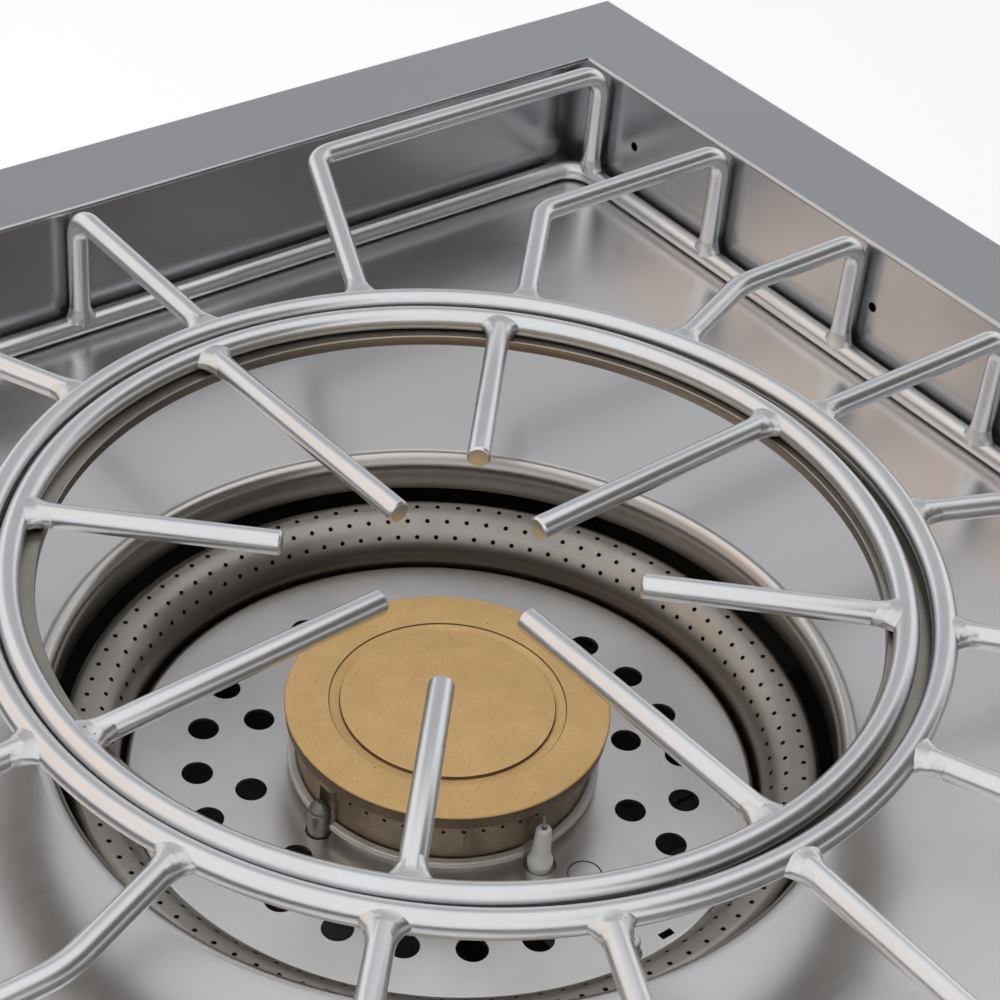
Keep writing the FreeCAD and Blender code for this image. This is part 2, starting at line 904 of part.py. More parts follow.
# Mixing tubes: bent stainless tube, with three air windows near the mouth
def tube_along(points, bends):
    outside = bent_rod(points, bends, size("tube_radius"))
    bore = bent_rod(points, bends, size("tube_radius") - size("tube_wall"))
    return outside.cut(bore)


def air_windows(x):
    width = size("window_width")
    window = Part.makeBox(width, size("window_length"), size("tube_radius") * 2)
    window.translate(Vector(x - width / 2, window_y, tube_z))
    axis_point = Vector(x, 0, tube_z)
    return [window.rotated(axis_point, Vector(0, 1, 0), turn) for turn in window_turns]


window_y = size("window_margin") - tube_mouth
window_turns = (60, 180, 300)


def make_ring_tube():
    top = -size("neck_drop")
    points = [
        Vector(ring_inlet_x, ring_inlet_y, top),
        Vector(ring_inlet_x, ring_inlet_y, tube_z),
        Vector(ring_inlet_x, -tube_mouth, tube_z),
    ]
    tube = tube_along(points, [size("tube_bend")])
    neck_height = size("neck_drop") - ring_base
    radius = size("tube_radius")
    wall = size("tube_wall")
    base = Vector(ring_inlet_x, ring_inlet_y, top)
    neck = Part.makeCone(radius, radius / 2 + wall, neck_height, base)
    bore = Part.makeCone(radius - wall, radius / 2, neck_height, base)
    tube = tube.fuse(neck.cut(bore)).cut(air_windows(ring_inlet_x))
    make_feature("ring_burner_tube", tube)


make_ring_tube()


def make_centre_tube():
    start = size("throat_radius")
    points = [
        Vector(0, -start, tube_z),
        Vector(0, -start - size("tube_lead"), tube_z),
        Vector(valve_x, -start - size("tube_lead") - size("tube_offset_run"), tube_z),
        Vector(valve_x, -tube_mouth, tube_z),
    ]
    bend = size("centre_tube_bend")
    tube = tube_along(points, [bend, bend]).cut(air_windows(valve_x))
    make_feature("centre_burner_tube", tube)


make_centre_tube()


# Two feet that carry the ring burner on the bridge
def make_ring_feet():
    body = new_body("ring_burner_feet")
    body.AllowCompound = True
    profile = new_sketch(body, "XZ_Plane")
    half = size("foot_width") / 2
    low = -size("bridge_drop")
    for side in (-1, 1):
        middle = ring_middle * side
        inner = middle - half * side
        outer = middle + half * side
        metal = gauge * side
        draw_outline(profile, [
            (inner, -ring_base),
            (outer, -ring_base),
            (outer, low),
            (inner, low),
            (inner, low + gauge),
            (outer - metal, low + gauge),
            (outer - metal, -ring_base - gauge),
            (inner, -ring_base - gauge),
        ])
    pad(body, profile, size("foot_width"), True)
    return finish(body, "ring_burner_feet")


make_ring_feet()


# Burner casting: a tapered bowl on the bridge, its neck rising through the burner plate
plate_z = -size("plate_drop")
neck_radius = size("plate_bore") - size("fit_gap")
seat_floor = -size("seat_drop")
collar_top = plate_z - gauge


def round_place(radius, angle):
    return radius * cos(radians(angle)), radius * sin(radians(angle))


def electrode_size(label, name):
    return size(label + "_" + name)


def electrode_place(label):
    return round_place(electrode_size(label, "circle"), electrode_size(label, "angle"))


electrodes = ("centre_electrode", "ring_electrode")
sensor_place = round_place(size("sensor_circle"), size("sensor_angle"))


def make_burner_casting():
    wall = size("casting_wall")
    throat = size("throat_radius")
    shoulder = size("plate_bore") + size("ledge_width") / 2
    bottom = -size("bridge_drop")
    tube_top = tube_z + size("tube_radius") + wall
    body = turned("burner_casting", [
        (0, bottom),
        (throat + wall, bottom),
        (throat + wall, tube_top),
        (shoulder, plate_z - gauge - wall * 3),
        (shoulder, plate_z - gauge),
        (neck_radius, plate_z - gauge),
        (neck_radius, seat_floor),
        (neck_radius - wall, seat_floor),
        (neck_radius - wall, plate_z - gauge - wall * 3),
        (throat, tube_top),
        (throat, bottom + wall),
        (0, bottom + wall),
    ])
    soften(body, wall, rim(shoulder, plate_z - gauge - wall * 3))
    soften(body, wall, rim(throat + wall, tube_top))
    inlet = new_sketch(body, "XZ_Plane")
    draw_circle(inlet, 0, tube_z, size("tube_radius") + size("fit_gap"))
    pocket(body, inlet, throat + wall, True)
    relief = new_sketch(body, "XY_Plane", collar_top)
    x, y = electrode_place("centre_electrode")
    collar = electrode_size("centre_electrode", "radius") + size("electrode_collar")
    draw_circle(relief, x, y, collar + size("fit_gap"))
    x, y = sensor_place
    draw_circle(relief, x, y, size("sensor_radius") + size("sensor_collar") + size("fit_gap"))
    pocket(body, relief, size("electrode_tail") + size("fit_gap"))
    return finish(body, "burner_casting")


make_burner_casting()


# Burner plate: perforated disc with a down-turned rim, one inner hole left as a knock-out
def make_burner_plate():
    body = new_body("burner_plate")
    radius = size("plate_radius")
    disc = new_sketch(body, "XY_Plane", plate_z - gauge)
    draw_circle(disc, 0, 0, radius)
    draw_circle(disc, 0, 0, size("plate_bore"))
    pad(body, disc, gauge)
    turned_rim = new_sketch(body, "XY_Plane", plate_z - size("plate_rim"))
    draw_circle(turned_rim, 0, 0, radius)
    draw_circle(turned_rim, 0, 0, radius - gauge)
    pad(body, turned_rim, size("plate_rim") - gauge / 2)
    soften(body, size("fold_radius"), rim(radius, plate_z))
    outer = new_sketch(body, "XY_Plane", plate_z)
    draw_circle(outer, size("outer_hole_circle"), 0, size("plate_hole"))
    polar(body, pocket(body, outer, gauge), size("outer_hole_count"))
    inner = new_sketch(body, "XY_Plane", plate_z)
    x, y = round_place(size("inner_hole_circle"), size("inner_hole_start"))
    draw_circle(inner, x, y, size("plate_hole"))
    pattern = polar(body, pocket(body, inner, gauge), size("inner_hole_count"))
    pattern.Mode = "Spacing"
    bind(pattern, "Offset", size("inner_hole_step"))
    doc.recompute()
    single = new_sketch(body, "XY_Plane", plate_z)
    for label in electrodes:
        x, y = electrode_place(label)
        draw_circle(single, x, y, electrode_size(label, "radius") + size("fit_gap"))
    x, y = sensor_place
    draw_circle(single, x, y, size("sensor_radius") + size("fit_gap"))
    x, y = round_place(size("plate_slot_circle"), size("plate_slot_angle"))
    half = size("plate_slot_length") / 2
    draw_rectangle(single, x - half, y - half / 2, x + half, y + half / 2)
    pocket(body, single, gauge)
    return finish(body, "burner_plate")


make_burner_plate()


# Burner seat: grey cast ring round the neck, its lip notched round the electrode and the sensor
def make_burner_seat():
    lip = size("casting_lip")
    lip_top = -size("lip_drop")
    lip_base = lip_top - size("lip_height")
    drum = size("drum_radius") + size("fit_gap")
    body = turned("burner_seat", [
        (size("plate_bore"), plate_z),
        (size("seat_neck"), plate_z),
        (size("seat_neck"), lip_base),
        (lip, lip_base),
        (lip, lip_top),
        (drum, lip_top),
        (drum, seat_floor),
        (size("plate_bore"), seat_floor),
    ])
    soften(body, size("fit_gap"), rim(lip, lip_top))
    cut_notches(body, lip_top, lip_top - plate_z)
    return finish(body, "burner_seat")


def cut_notches(body, top, depth):
    notch = new_sketch(body, "XY_Plane", top)
    x, y = electrode_place("centre_electrode")
    draw_circle(notch, x, y, electrode_size("centre_electrode", "radius") + size("notch_gap"))
    x, y = sensor_place
    draw_circle(notch, x, y, size("sensor_radius") + size("notch_gap"))
    pocket(body, notch, depth)


make_burner_seat()


# Burner drum: brass ring with a row of flame slots just below the cap, fluted behind both pins
cap_top = -size("cap_top")
cap_underside = cap_top - size("cap_height")


def make_burner_drum():
    # The slots are cut past the wall, whose inside is round and would leave a sliver
    outer = size("drum_radius")
    wall = size("drum_wall")
    top = cap_underside - size("rest_gap")
    body = turned("burner_drum", [
        (outer - wall, seat_floor),
        (outer, seat_floor),
        (outer, top),
        (outer - wall, top),
    ])
    slot = new_sketch(body, "YZ_Plane", outer)
    half = size("slot_width") / 2
    slot_top = top - size("slot_drop")
    draw_rectangle(slot, -half, slot_top - size("slot_height"), half, slot_top)
    polar(body, pocket(body, slot, wall * 2), size("slot_count"))
    flute_top = -size("flute_drop")
    cut_notches(body, flute_top, flute_top - seat_floor)
    return finish(body, "burner_drum")


make_burner_drum()


# Brass cap: tapered edge, a sloping groove in its face and a spigot that drops into the drum
def make_brass_cap():
    radius = size("cap_radius")
    spigot = size("drum_radius") - size("drum_wall") - size("rest_gap")
    draft = size("groove_draft")
    thick = size("cap_height")
    hollow = spigot - size("drum_wall")
    body = turned("brass_cap", [
        (0, cap_top),
        (0, cap_underside + thick / 2),
        (hollow - thick / 2, cap_underside + thick / 2),
        (hollow, cap_underside - size("cap_spigot")),
        (spigot, cap_underside - size("cap_spigot")),
        (spigot, cap_underside),
        (radius - size("cap_taper"), cap_underside),
        (radius, cap_top),
        (size("groove_outer"), cap_top),
        (size("groove_outer") - draft, cap_top - size("groove_shelf")),
        (size("groove_inner") + draft, cap_top - size("groove_depth")),
        (size("groove_inner"), cap_top),
    ])
    soften(body, size("cap_edge"), rim(radius, cap_top))
    return finish(body, "brass_cap")


make_brass_cap()


# Ignition: two ceramic electrodes snapped into the plate, their wires, and the flame sensor
def make_electrode(label):
    radius = electrode_size(label, "radius")
    top = -electrode_size(label, "top")
    neck = radius - size("electrode_shoulder")
    neck_base = top - electrode_size(label, "neck")
    collar = radius + size("electrode_collar")
    body = turned(label, [
        (size("wire_radius"), collar_top - size("electrode_tail")),
        (radius, collar_top - size("electrode_tail")),
        (radius, collar_top - radius),
        (collar, collar_top - radius),
        (collar, collar_top),
        (radius, collar_top),
        (radius, neck_base),
        (neck, neck_base + size("electrode_cone")),
        (neck, top),
        (size("wire_radius"), top),
    ])
    x, y = electrode_place(label)
    return finish(body, label, x, y)


for label in electrodes:
    make_electrode(label)


def make_electrode_wires():
    wires = []
    low = collar_top - size("electrode_tail")
    for label in electrodes:
        x, y = electrode_place(label)
        length = size("wire_reach") - electrode_size(label, "top") - low
        wires.append(Part.makeCylinder(size("wire_radius"), length, Vector(x, y, low)))
    make_feature("electrode_wires", Part.makeCompound(wires))


make_electrode_wires()


def make_sensor_pin():
    radius = size("sensor_radius")
    collar = radius + size("sensor_collar")
    tip = -size("sensor_top")
    shoulder = tip - size("sensor_cone")
    body = turned("sensor_pin", [
        (0, collar_top - size("electrode_tail")),
        (radius, collar_top - size("electrode_tail")),
        (radius, collar_top - radius),
        (collar, collar_top - radius),
        (collar, collar_top),
        (radius, collar_top),
        (radius, shoulder),
        (radius - size("sensor_shoulder"), shoulder + size("sensor_shoulder")),
        (size("sensor_point"), tip - size("sensor_point") / 2),
        (0, tip),
    ])
    x, y = sensor_place
    return finish(body, "sensor_pin", x, y)


make_sensor_pin()


# Gas valves: block with a saddle on the manifold, a nose for the orifice and a bonnet for the stem
stem_radius = size("stem_radius")
bonnet_front = valve_front + size("bonnet_length")


def make_valve(label, x):
    body = new_body(label)
    half = size("valve_width") / 2
    block = new_sketch(body, "XZ_Plane", valve_back)
    draw_rectangle(block, -half, -half, half, half)
    pad(body, block, valve_front - valve_back)
    bonnet = new_sketch(body, "XZ_Plane", valve_front)
    draw_circle(bonnet, 0, 0, half - gauge)
    pad(body, bonnet, size("bonnet_length"))
    saddle_z = tube_z + size("manifold_drop")
    spigot = new_sketch(body, "XY_Plane", -saddle_z)
    draw_circle(spigot, 0, manifold_y, half - gauge * 2)
    pad(body, spigot, saddle_z)
    saddle = new_sketch(body, "YZ_Plane", half)
    draw_circle(saddle, manifold_y, -saddle_z, size("manifold_radius"))
    pocket(body, saddle, half * 2)
    bore = new_sketch(body, "XZ_Plane", bonnet_front)
    draw_circle(bore, 0, 0, stem_radius + size("seam"))
    pocket(body, bore, size("stem_depth"))
    soften(body, size("fold_radius"), upright_block_edge)
    return finish(body, label, x, 0, tube_z)


def upright_block_edge(edge):
    """The four long edges of the valve block."""
    half = size("valve_width") / 2
    box = edge.BoundBox
    along = near(box.YLength, valve_front - valve_back)
    return along and near(abs(box.XMin), half) and near(abs(box.ZMin), half)


def make_orifice(label, x):
    radius = size("orifice_radius")
    back = -valve_back
    tip = size("orifice_reach") - tube_mouth
    body = turned(label, [
        (size("orifice_bore"), back),
        (radius * 1.4, back),
        (radius * 1.4, back + radius),
        (radius, back + radius),
        (radius, tip - radius / 2),
        (radius / 2, tip),
        (size("orifice_bore"), tip),
    ], "XY_Plane")
    return finish(body, label, x, 0, tube_z)


# Valve stem: round shaft in the bonnet, stepped down inside the knob
def make_stem(label, x):
    inner = size("stem_depth") - size("stem_travel") - size("rest_gap")
    front = knob_hub
    body = turned(label, [
        (0, inner - bonnet_front),
        (stem_radius, inner - bonnet_front),
        (stem_radius, front),
        (0, front),
    ], "XY_Plane")
    flat = new_sketch(body, "XZ_Plane", -front)
    draw_rectangle(flat, -stem_radius, stem_radius / 2, stem_radius, stem_radius)
    pocket(body, flat, size("stem_flat"))
    return finish(body, label, x, 0, tube_z)


knob_back = -front_reach - size("bezel_floor") - size("stem_travel") - size("fit_gap")
knob_front = -front_reach - size("knob_reach")
knob_hub = knob_front + size("knob_cover")


# Spring seat: the disc that rides on the stem in front of the bonnet and slides with it
def make_spring_seat(label, x):
    front = size("stem_travel") + size("rest_gap") + bonnet_front
    inner = stem_radius + size("seam")
    body = turned(label, [
        (inner, -front - gauge),
        (inner * 2, -front - gauge),
        (inner * 2, -front),
        (inner, -front),
    ], "XY_Plane")
    return finish(body, label, x, 0, tube_z)


# Knob: skirted turning with grip flutes, a hub bore for the stem and a pointer slot
def make_knob(label, x):
    radius = size("knob_radius")
    skirt = size("knob_skirt")
    step = knob_back - size("skirt_depth")
    wall = size("knob_wall")
    hub = stem_radius * 2
    body = turned(label, [
        (stem_radius + size("seam") / 3, knob_back),
        (hub, knob_back),
        (hub, knob_hub + wall),
        (radius - wall, knob_hub + wall),
        (radius - wall, step),
        (skirt - wall, step + wall),
        (skirt - wall, knob_back),
        (skirt, knob_back),
        (skirt, step),
        (radius, step - wall),
        (radius, knob_front),
        (0, knob_front),
        (0, knob_hub),
        (stem_radius + size("seam") / 3, knob_hub),
    ], "XY_Plane")
    flute = new_sketch(body, "XZ_Plane", -knob_front)
    draw_circle(flute, 0, radius + size("flute_radius") - size("flute_depth"), size("flute_radius"))
    polar(body, pocket(body, flute, size("flute_length")), size("flute_count"), "Y_Axis")
    soften(body, size("fold_radius"), rim(skirt, step, 1))
    pointer = new_sketch(body, "XZ_Plane", -knob_front)
    half = size("pointer_width") / 2
    draw_rectangle(pointer, -half, radius / 3, half, radius - size("flute_depth") * 2)
    pocket(body, pointer, size("pointer_depth"))
    return finish(body, label, x, 0, tube_z)


def make_bezel(label, x):
    outer = size("bezel_radius")
    inner = size("knob_skirt") + size("bezel_gap")
    floor = size("bezel_floor")
    body = turned(label, [
        (stem_radius + size("stem_clearance"), -front_reach),
        (outer, -front_reach),
        (outer - gauge, -front_reach - size("bezel_depth")),
        (inner, -front_reach - size("bezel_depth")),
        (inner, -front_reach - floor),
        (stem_radius + size("stem_clearance"), -front_reach - floor),
    ], "XY_Plane")
    soften(body, gauge, rim(outer - gauge, -front_reach - size("bezel_depth"), 1))
    return finish(body, label, x, 0, tube_z)


# Air shutter: a sleeve on the tube's mouth whose windows pass over the tube's own
def make_air_shutter(label, x):
    inner = size("tube_radius") + size("shutter_clearance")
    outer = inner + size("shutter_wall")
    mouth = -tube_mouth
    body = turned(label, [
        (inner, mouth),
        (outer, mouth),
        (outer, mouth + size("shutter_length")),
        (inner, mouth + size("shutter_length")),
    ], "XY_Plane")
    window = new_sketch(body, "YZ_Plane", outer)
    half = size("window_width") / 2
    draw_rectangle(window, window_y, -half, window_y + size("window_length"), half)
    cut = pocket(body, window, size("shutter_wall") * 2)
    polar(body, cut, len(window_turns), "Y_Axis")
    # Its first window faces +X, half a pitch from the tube's nearest one
    body.Placement.Rotation = Rotation(Vector(0, 1, 0), window_turns[0] / 2)
    return finish(body, label, x, 0, tube_z)


# Piezo igniter: moulded block clipped on top of the valve
def make_igniter(label, x):
    body = new_body(label)
    half = size("igniter_width") / 2
    top = size("valve_width") / 2
    block = new_sketch(body, "XY_Plane", top)
    draw_rectangle(block, -half, -valve_front, half, -valve_back)
    pad(body, block, size("igniter_height"))
    terminal = new_sketch(body, "XZ_Plane", valve_back)
    draw_circle(terminal, 0, top + size("igniter_height") / 2, size("wire_radius") * 3)
    post = pad(body, terminal, size("bonnet_length"))
    post.Reversed = True
    lid = top + size("igniter_height")
    soften(body, gauge, lambda edge: near(edge.BoundBox.ZMin, lid) and near(edge.BoundBox.ZMax, lid))
    return finish(body, label, x, 0, tube_z)


for side_name, side in (("left", -1), ("right", 1)):
    place_x = valve_x * side
    make_valve(f"{side_name}_valve", place_x)
    make_orifice(f"{side_name}_orifice", place_x)
    make_igniter(f"{side_name}_igniter", place_x)
    make_stem(f"{side_name}_stem", place_x)
    make_spring_seat(f"{side_name}_spring_seat", place_x)
    make_bezel(f"{side_name}_bezel", place_x)
    make_knob(f"{side_name}_knob", place_x)
    make_air_shutter(f"{side_name}_air_shutter", place_x)


# Gas line: manifold tube under the valves, its inlet fitting and two brackets
manifold_z = -size("manifold_drop")


def make_manifold():
    radius = size("manifold_radius")
    end = valve_x + size("valve_width")
    body = turned("manifold_pipe", [
        (-end, 0),
        (box_x + gauge * 4, 0),
        (box_x + gauge * 4, radius),
        (-end, radius),
    ], "XY_Plane", "H_Axis")
    soften(body, gauge, rim(radius, -end, 0))
    return finish(body, "manifold_pipe", 0, manifold_y, manifold_z)


make_manifold()


def make_inlet_fitting():
    start = box_x + gauge * 4
    reach = size("inlet_reach")
    thread = size("inlet_radius")
    bore = size("inlet_bore")
    nut = size("inlet_nut")
    body = new_body("inlet_fitting")
    hexagon = new_sketch(body, "YZ_Plane", start)
    half = nut * 0.5
    rise = nut * 0.866
    draw_outline(hexagon, [(nut, 0), (half, rise), (-half, rise), (-nut, 0), (-half, -rise), (half, -rise)])
    pad(body, hexagon, size("inlet_nut_length"))
    thread_end = new_sketch(body, "YZ_Plane", start)
    draw_circle(thread_end, 0, 0, thread)
    pad(body, thread_end, reach - start)
    hole = new_sketch(body, "YZ_Plane", reach)
    draw_circle(hole, 0, 0, bore)
    pocket(body, hole, reach - start - gauge)
    return finish(body, "inlet_fitting", 0, manifold_y, manifold_z)


make_inlet_fitting()


def make_manifold_brackets():
    body = new_body("manifold_brackets")
    body.AllowCompound = True
    low = gauge * 2 - size("unit_height")
    half = size("manifold_radius") + size("tab_width") / 3
    foot = new_sketch(body, "XY_Plane", low)
    stem = new_sketch(body, "XY_Plane", low)
    for x in (-size("bracket_near"), size("bracket_far")):
        draw_rectangle(foot, x, manifold_y - half, x + size("tab_width"), manifold_y + half)
        draw_rectangle(stem, x, manifold_y - half, x + gauge, manifold_y + half)
    pad(body, foot, gauge)
    pad(body, stem, manifold_z - low + half)
    hole = new_sketch(body, "YZ_Plane", -size("bracket_near"))
    draw_circle(hole, manifold_y, manifold_z, size("manifold_radius") + size("rest_gap"))
    pocket(body, hole, size("bracket_near") + size("bracket_far") + gauge, True)
    return finish(body, "manifold_brackets")


make_manifold_brackets()


# Grate: everything on it is round bar, placed about the grate's own centre
def grate_ring(label, radius, shift):
    ring = doc.addObject("Part::Torus", label)
    bind(ring, "Radius1", radius)
    bind(ring, "Radius2", rod)
    return finish(ring, label, shift, 0, size("ring_height"))


grate_shift = size("grate_shift")
ring_height = float(size("ring_height"))
outer_ring = grate_ring("outer_ring", size("ring_radius"), grate_shift)
insert_ring = grate_ring("insert_ring", size("insert_radius"), size("insert_shift"))
loop_x = float(size("loop_half_width"))
loop_y = float(size("loop_half_depth"))
loop_z = float(rod + size("rest_gap") - floor_depth)


def make_base_loop():
    corners = [(loop_x, loop_y), (-loop_x, loop_y), (-loop_x, -loop_y), (loop_x, -loop_y)]
    start = Vector(loop_x, 0, loop_z)
    points = [start] + [Vector(x, y, loop_z) for x, y in corners] + [start]
    loop = bent_rod(points, [float(size("loop_corner"))] * 4, rod)
    make_feature("base_loop", loop, grate_shift)
    return loop


base_loop = make_base_loop()


# The flat ring welded under the outer ring, which the insert stands on
def make_bar_ring():
    thick = size("bar_ring_thick")
    top = size("ring_height") - rod - size("rest_gap")
    body = turned("bar_ring", [
        (size("bar_ring_inner"), top - thick),
        (size("bar_ring_outer"), top - thick),
        (size("bar_ring_outer"), top),
        (size("bar_ring_inner"), top),
    ])
    return finish(body, "bar_ring", grate_shift)


make_bar_ring()


# Grate arms: each is one bent bar from the outer ring, along the top and down to the base loop
def ring_solid(radius):
    return Part.makeTorus(radius, rod, Vector(0, 0, ring_height))


def make_arm(points, bends):
    bar = bent_rod(points, bends, rod)
    return bar.cut([ring_solid(size("ring_radius")), base_loop])


def straight_arm(x, y):
    reach = size("ring_radius") / (x * x + y * y) ** 0.5
    points = [
        Vector(x * reach, y * reach, ring_height),
        Vector(x, y, ring_height),
        Vector(x, y, loop_z),
    ]
    return make_arm(points, [float(size("top_bend"))])


def cranked_arm(angle, run, reach, bend):
    """An arm of the right back quarter: out to (run, reach), then along X to the loop."""
    start_x, start_y = round_place(float(size("ring_radius")), angle)
    points = [
        Vector(start_x, start_y, ring_height),
        Vector(run, reach, ring_height),
        Vector(loop_x, reach, ring_height),
        Vector(loop_x, reach, loop_z),
    ]
    return make_arm(points, [float(bend), float(size("top_bend"))])


def all_quarters(arm):
    left = arm.mirror(Vector(), Vector(1, 0, 0))
    front = [item.mirror(Vector(), Vector(0, 1, 0)) for item in (arm, left)]
    return Part.makeCompound([arm, left] + front)


ends = [(loop_x, 0), (0, loop_y), (-loop_x, 0), (0, -loop_y)]
make_feature("cross_arms", Part.makeCompound([straight_arm(x, y) for x, y in ends]), grate_shift)
for name, angle in (("side_arm", 22.5), ("diagonal_arm", 45.0), ("corner_arm", 67.5)):
    arm = cranked_arm(angle, size(f"{name}_run"), size(f"{name}_reach"), size(f"{name}_bend"))
    make_feature(f"{name}s", all_quarters(arm), grate_shift)


# Insert: eight fingers point inwards from the inner ring, long and short in turn
def make_fingers(label, tip, first):
    radius = float(size("insert_radius"))
    fingers = []
    for quarter in range(4):
        length = radius - tip
        finger = Part.makeCylinder(rod, length, Vector(tip, 0, ring_height), Vector(1, 0, 0))
        tip_edge = [edge for edge in finger.Edges if near(edge.CenterOfMass.x, tip) and edge.Closed]
        finger = finger.makeChamfer(size("finger_chamfer"), tip_edge)
        finger = finger.cut(ring_solid(radius))
        turn = first + 90 * quarter + size("finger_turn")
        fingers.append(finger.rotated(Vector(), Vector(0, 0, 1), turn))
    make_feature(label, Part.makeCompound(fingers), size("insert_shift"))


make_fingers("long_fingers", size("long_finger_tip"), 0)
make_fingers("short_fingers", size("short_finger_tip"), 45)


doc.recompute()
problems = [item.Name for item in doc.Objects if "Invalid" in item.State or "Error" in item.State]
if problems:
    raise ValueError(f"failed objects: {problems}")
for label, item in parts.items():
    if item.Shape.isNull() or not item.Shape.isValid():
        raise ValueError(f"{label} has no sound shape")
os.makedirs("parts", exist_ok=True)
for label, item in parts.items():
    item.Shape.exportStep(f"parts/{label}.step")
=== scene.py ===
import math
import bpy
from mathutils import Matrix, Vector


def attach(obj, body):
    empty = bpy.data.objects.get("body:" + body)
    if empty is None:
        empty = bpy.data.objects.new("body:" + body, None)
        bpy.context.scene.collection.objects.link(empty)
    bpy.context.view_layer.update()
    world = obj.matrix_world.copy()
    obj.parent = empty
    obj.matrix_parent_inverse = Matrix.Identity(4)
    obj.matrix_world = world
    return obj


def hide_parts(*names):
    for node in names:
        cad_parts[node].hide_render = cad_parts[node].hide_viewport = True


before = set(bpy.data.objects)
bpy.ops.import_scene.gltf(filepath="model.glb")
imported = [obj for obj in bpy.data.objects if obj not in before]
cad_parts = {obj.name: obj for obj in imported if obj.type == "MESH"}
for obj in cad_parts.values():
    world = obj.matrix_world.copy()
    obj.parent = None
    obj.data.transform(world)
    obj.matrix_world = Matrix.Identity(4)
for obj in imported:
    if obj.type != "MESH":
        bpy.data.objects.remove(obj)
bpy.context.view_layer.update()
print("frame loaded")

# Pieces are drawn in millimetres about the burner's axis at the flange top, then settled in the frame
datum = {"mm": 0.001, "axisY": 0.053, "topZ": 0.25}


def selectOnly(*objects):
    if bpy.context.mode != "OBJECT":
        bpy.ops.object.mode_set(mode="OBJECT")
    bpy.ops.object.select_all(action="DESELECT")
    for item in objects:
        item.select_set(True)
    if objects:
        bpy.context.view_layer.objects.active = objects[0]


def keepAs(name):
    # A fresh primitive gets its own name, and its place goes into its mesh
    made = bpy.context.object
    made.name = made.data.name = name
    bpy.ops.object.transform_apply(location=True, rotation=True, scale=True)
    return made


def editAll(piece):
    selectOnly(piece)
    bpy.ops.object.mode_set(mode="EDIT")
    bpy.ops.mesh.select_mode(type="VERT")
    bpy.ops.mesh.select_all(action="SELECT")


def cleanMesh(piece, gap=0.002):
    editAll(piece)
    bpy.ops.mesh.remove_doubles(threshold=gap)
    bpy.ops.mesh.normals_make_consistent(inside=False)
    selectOnly(piece)


def extrudeBy(step):
    if step.length > 1e-6:
        bpy.ops.mesh.extrude_region_move(TRANSFORM_OT_translate={"value": step})


def spinBy(turn, centre, axis, steps, copies=False):
    # Without a window spin turns the other way
    bpy.ops.mesh.spin(steps=steps, angle=-turn, center=centre, axis=axis, dupli=copies)


def followPath(corners, bends=(), stepDegrees=9):
    # What is selected is drawn along straight runs joined by tangent arcs
    points = [Vector(corner) for corner in corners]
    bends = list(bends) + [0] * (len(points) - 2 - len(bends))
    here = points[0]
    for before, corner, after, bend in zip(points, points[1:], points[2:], bends):
        ahead = (corner - before).normalized()
        onward = (after - corner).normalized()
        turn = ahead.angle(onward)
        start = corner - ahead * bend * math.tan(turn / 2)
        extrudeBy(start - here)
        here = start
        if bend:
            axis = ahead.cross(onward).normalized()
            steps = max(4, round(math.degrees(turn) / stepDegrees))
            spinBy(turn, start + axis.cross(ahead) * bend, axis, steps)
            here = corner + onward * bend * math.tan(turn / 2)
    extrudeBy(points[-1] - here)


def turnTo(along, ahead="Z"):
    return Vector(along).to_track_quat(ahead, "Y").to_euler()


def sectionCircle(name, place, along, radius, sides):
    selectOnly()
    bpy.ops.mesh.primitive_circle_add(vertices=sides, radius=radius, location=place, rotation=turnTo(along))
    return keepAs(name)


def block(name, place, sizes):
    selectOnly()
    bpy.ops.mesh.primitive_cube_add(size=1, location=place, scale=sizes)
    return keepAs(name)


def closeEnds():
    bpy.ops.mesh.select_all(action="SELECT")
    bpy.ops.mesh.fill_holes(sides=0)


def bentBar(name, corners, bends, radius, sides):
    along = Vector(corners[1]) - Vector(corners[0])
    made = sectionCircle(name, corners[0], along, radius, sides)
    editAll(made)
    followPath(corners, bends)
    closeEnds()
    cleanMesh(made)
    return made


def turnedPiece(name, profile, bends, sides, wall=0, stepDegrees=15):
    # profile holds (radius, height) points from one vertex, spun round the upright axis
    points = [Vector((radius, 0, height)) for radius, height in profile]
    selectOnly()
    bpy.ops.mesh.primitive_plane_add(size=0.5, location=points[0])
    piece = keepAs(name)
    editAll(piece)
    bpy.ops.mesh.merge(type="CENTER")
    followPath(points, bends, stepDegrees)
    bpy.ops.mesh.select_all(action="SELECT")
    spinBy(math.tau, (0, 0, 0), (0, 0, 1), sides)
    cleanMesh(piece)
    if wall:
        applyModifier(piece, "SOLIDIFY", thickness=wall, offset=-1.0, use_even_offset=True)
    return piece


def applyModifier(piece, kind, **settings):
    selectOnly(piece)
    modifier = piece.modifiers.new(kind.lower(), kind)
    for key, value in settings.items():
        setattr(modifier, key, value)
    bpy.ops.object.modifier_apply(modifier=modifier.name)


def breakEdges(piece, width, degrees=40, segments=2):
    applyModifier(piece, "BEVEL", width=width, segments=segments, limit_method="ANGLE",
                  angle_limit=math.radians(degrees), harden_normals=False)


def cutAway(piece, cutter, **settings):
    applyModifier(piece, "BOOLEAN", operation="DIFFERENCE", solver="EXACT", object=cutter, **settings)
    bpy.data.objects.remove(cutter)


def trimToBox(piece, halfWidth, halfDepth, low, high):
    box = block("trimBox", (0, 0, (low + high) / 2), (2 * halfWidth, 2 * halfDepth, high - low))
    applyModifier(piece, "BOOLEAN", operation="INTERSECT", solver="EXACT", object=box)
    bpy.data.objects.remove(box)


def joinInto(name, pieces):
    selectOnly(*pieces)
    bpy.ops.object.join()
    joined = bpy.context.object
    joined.name = joined.data.name = name
    return joined


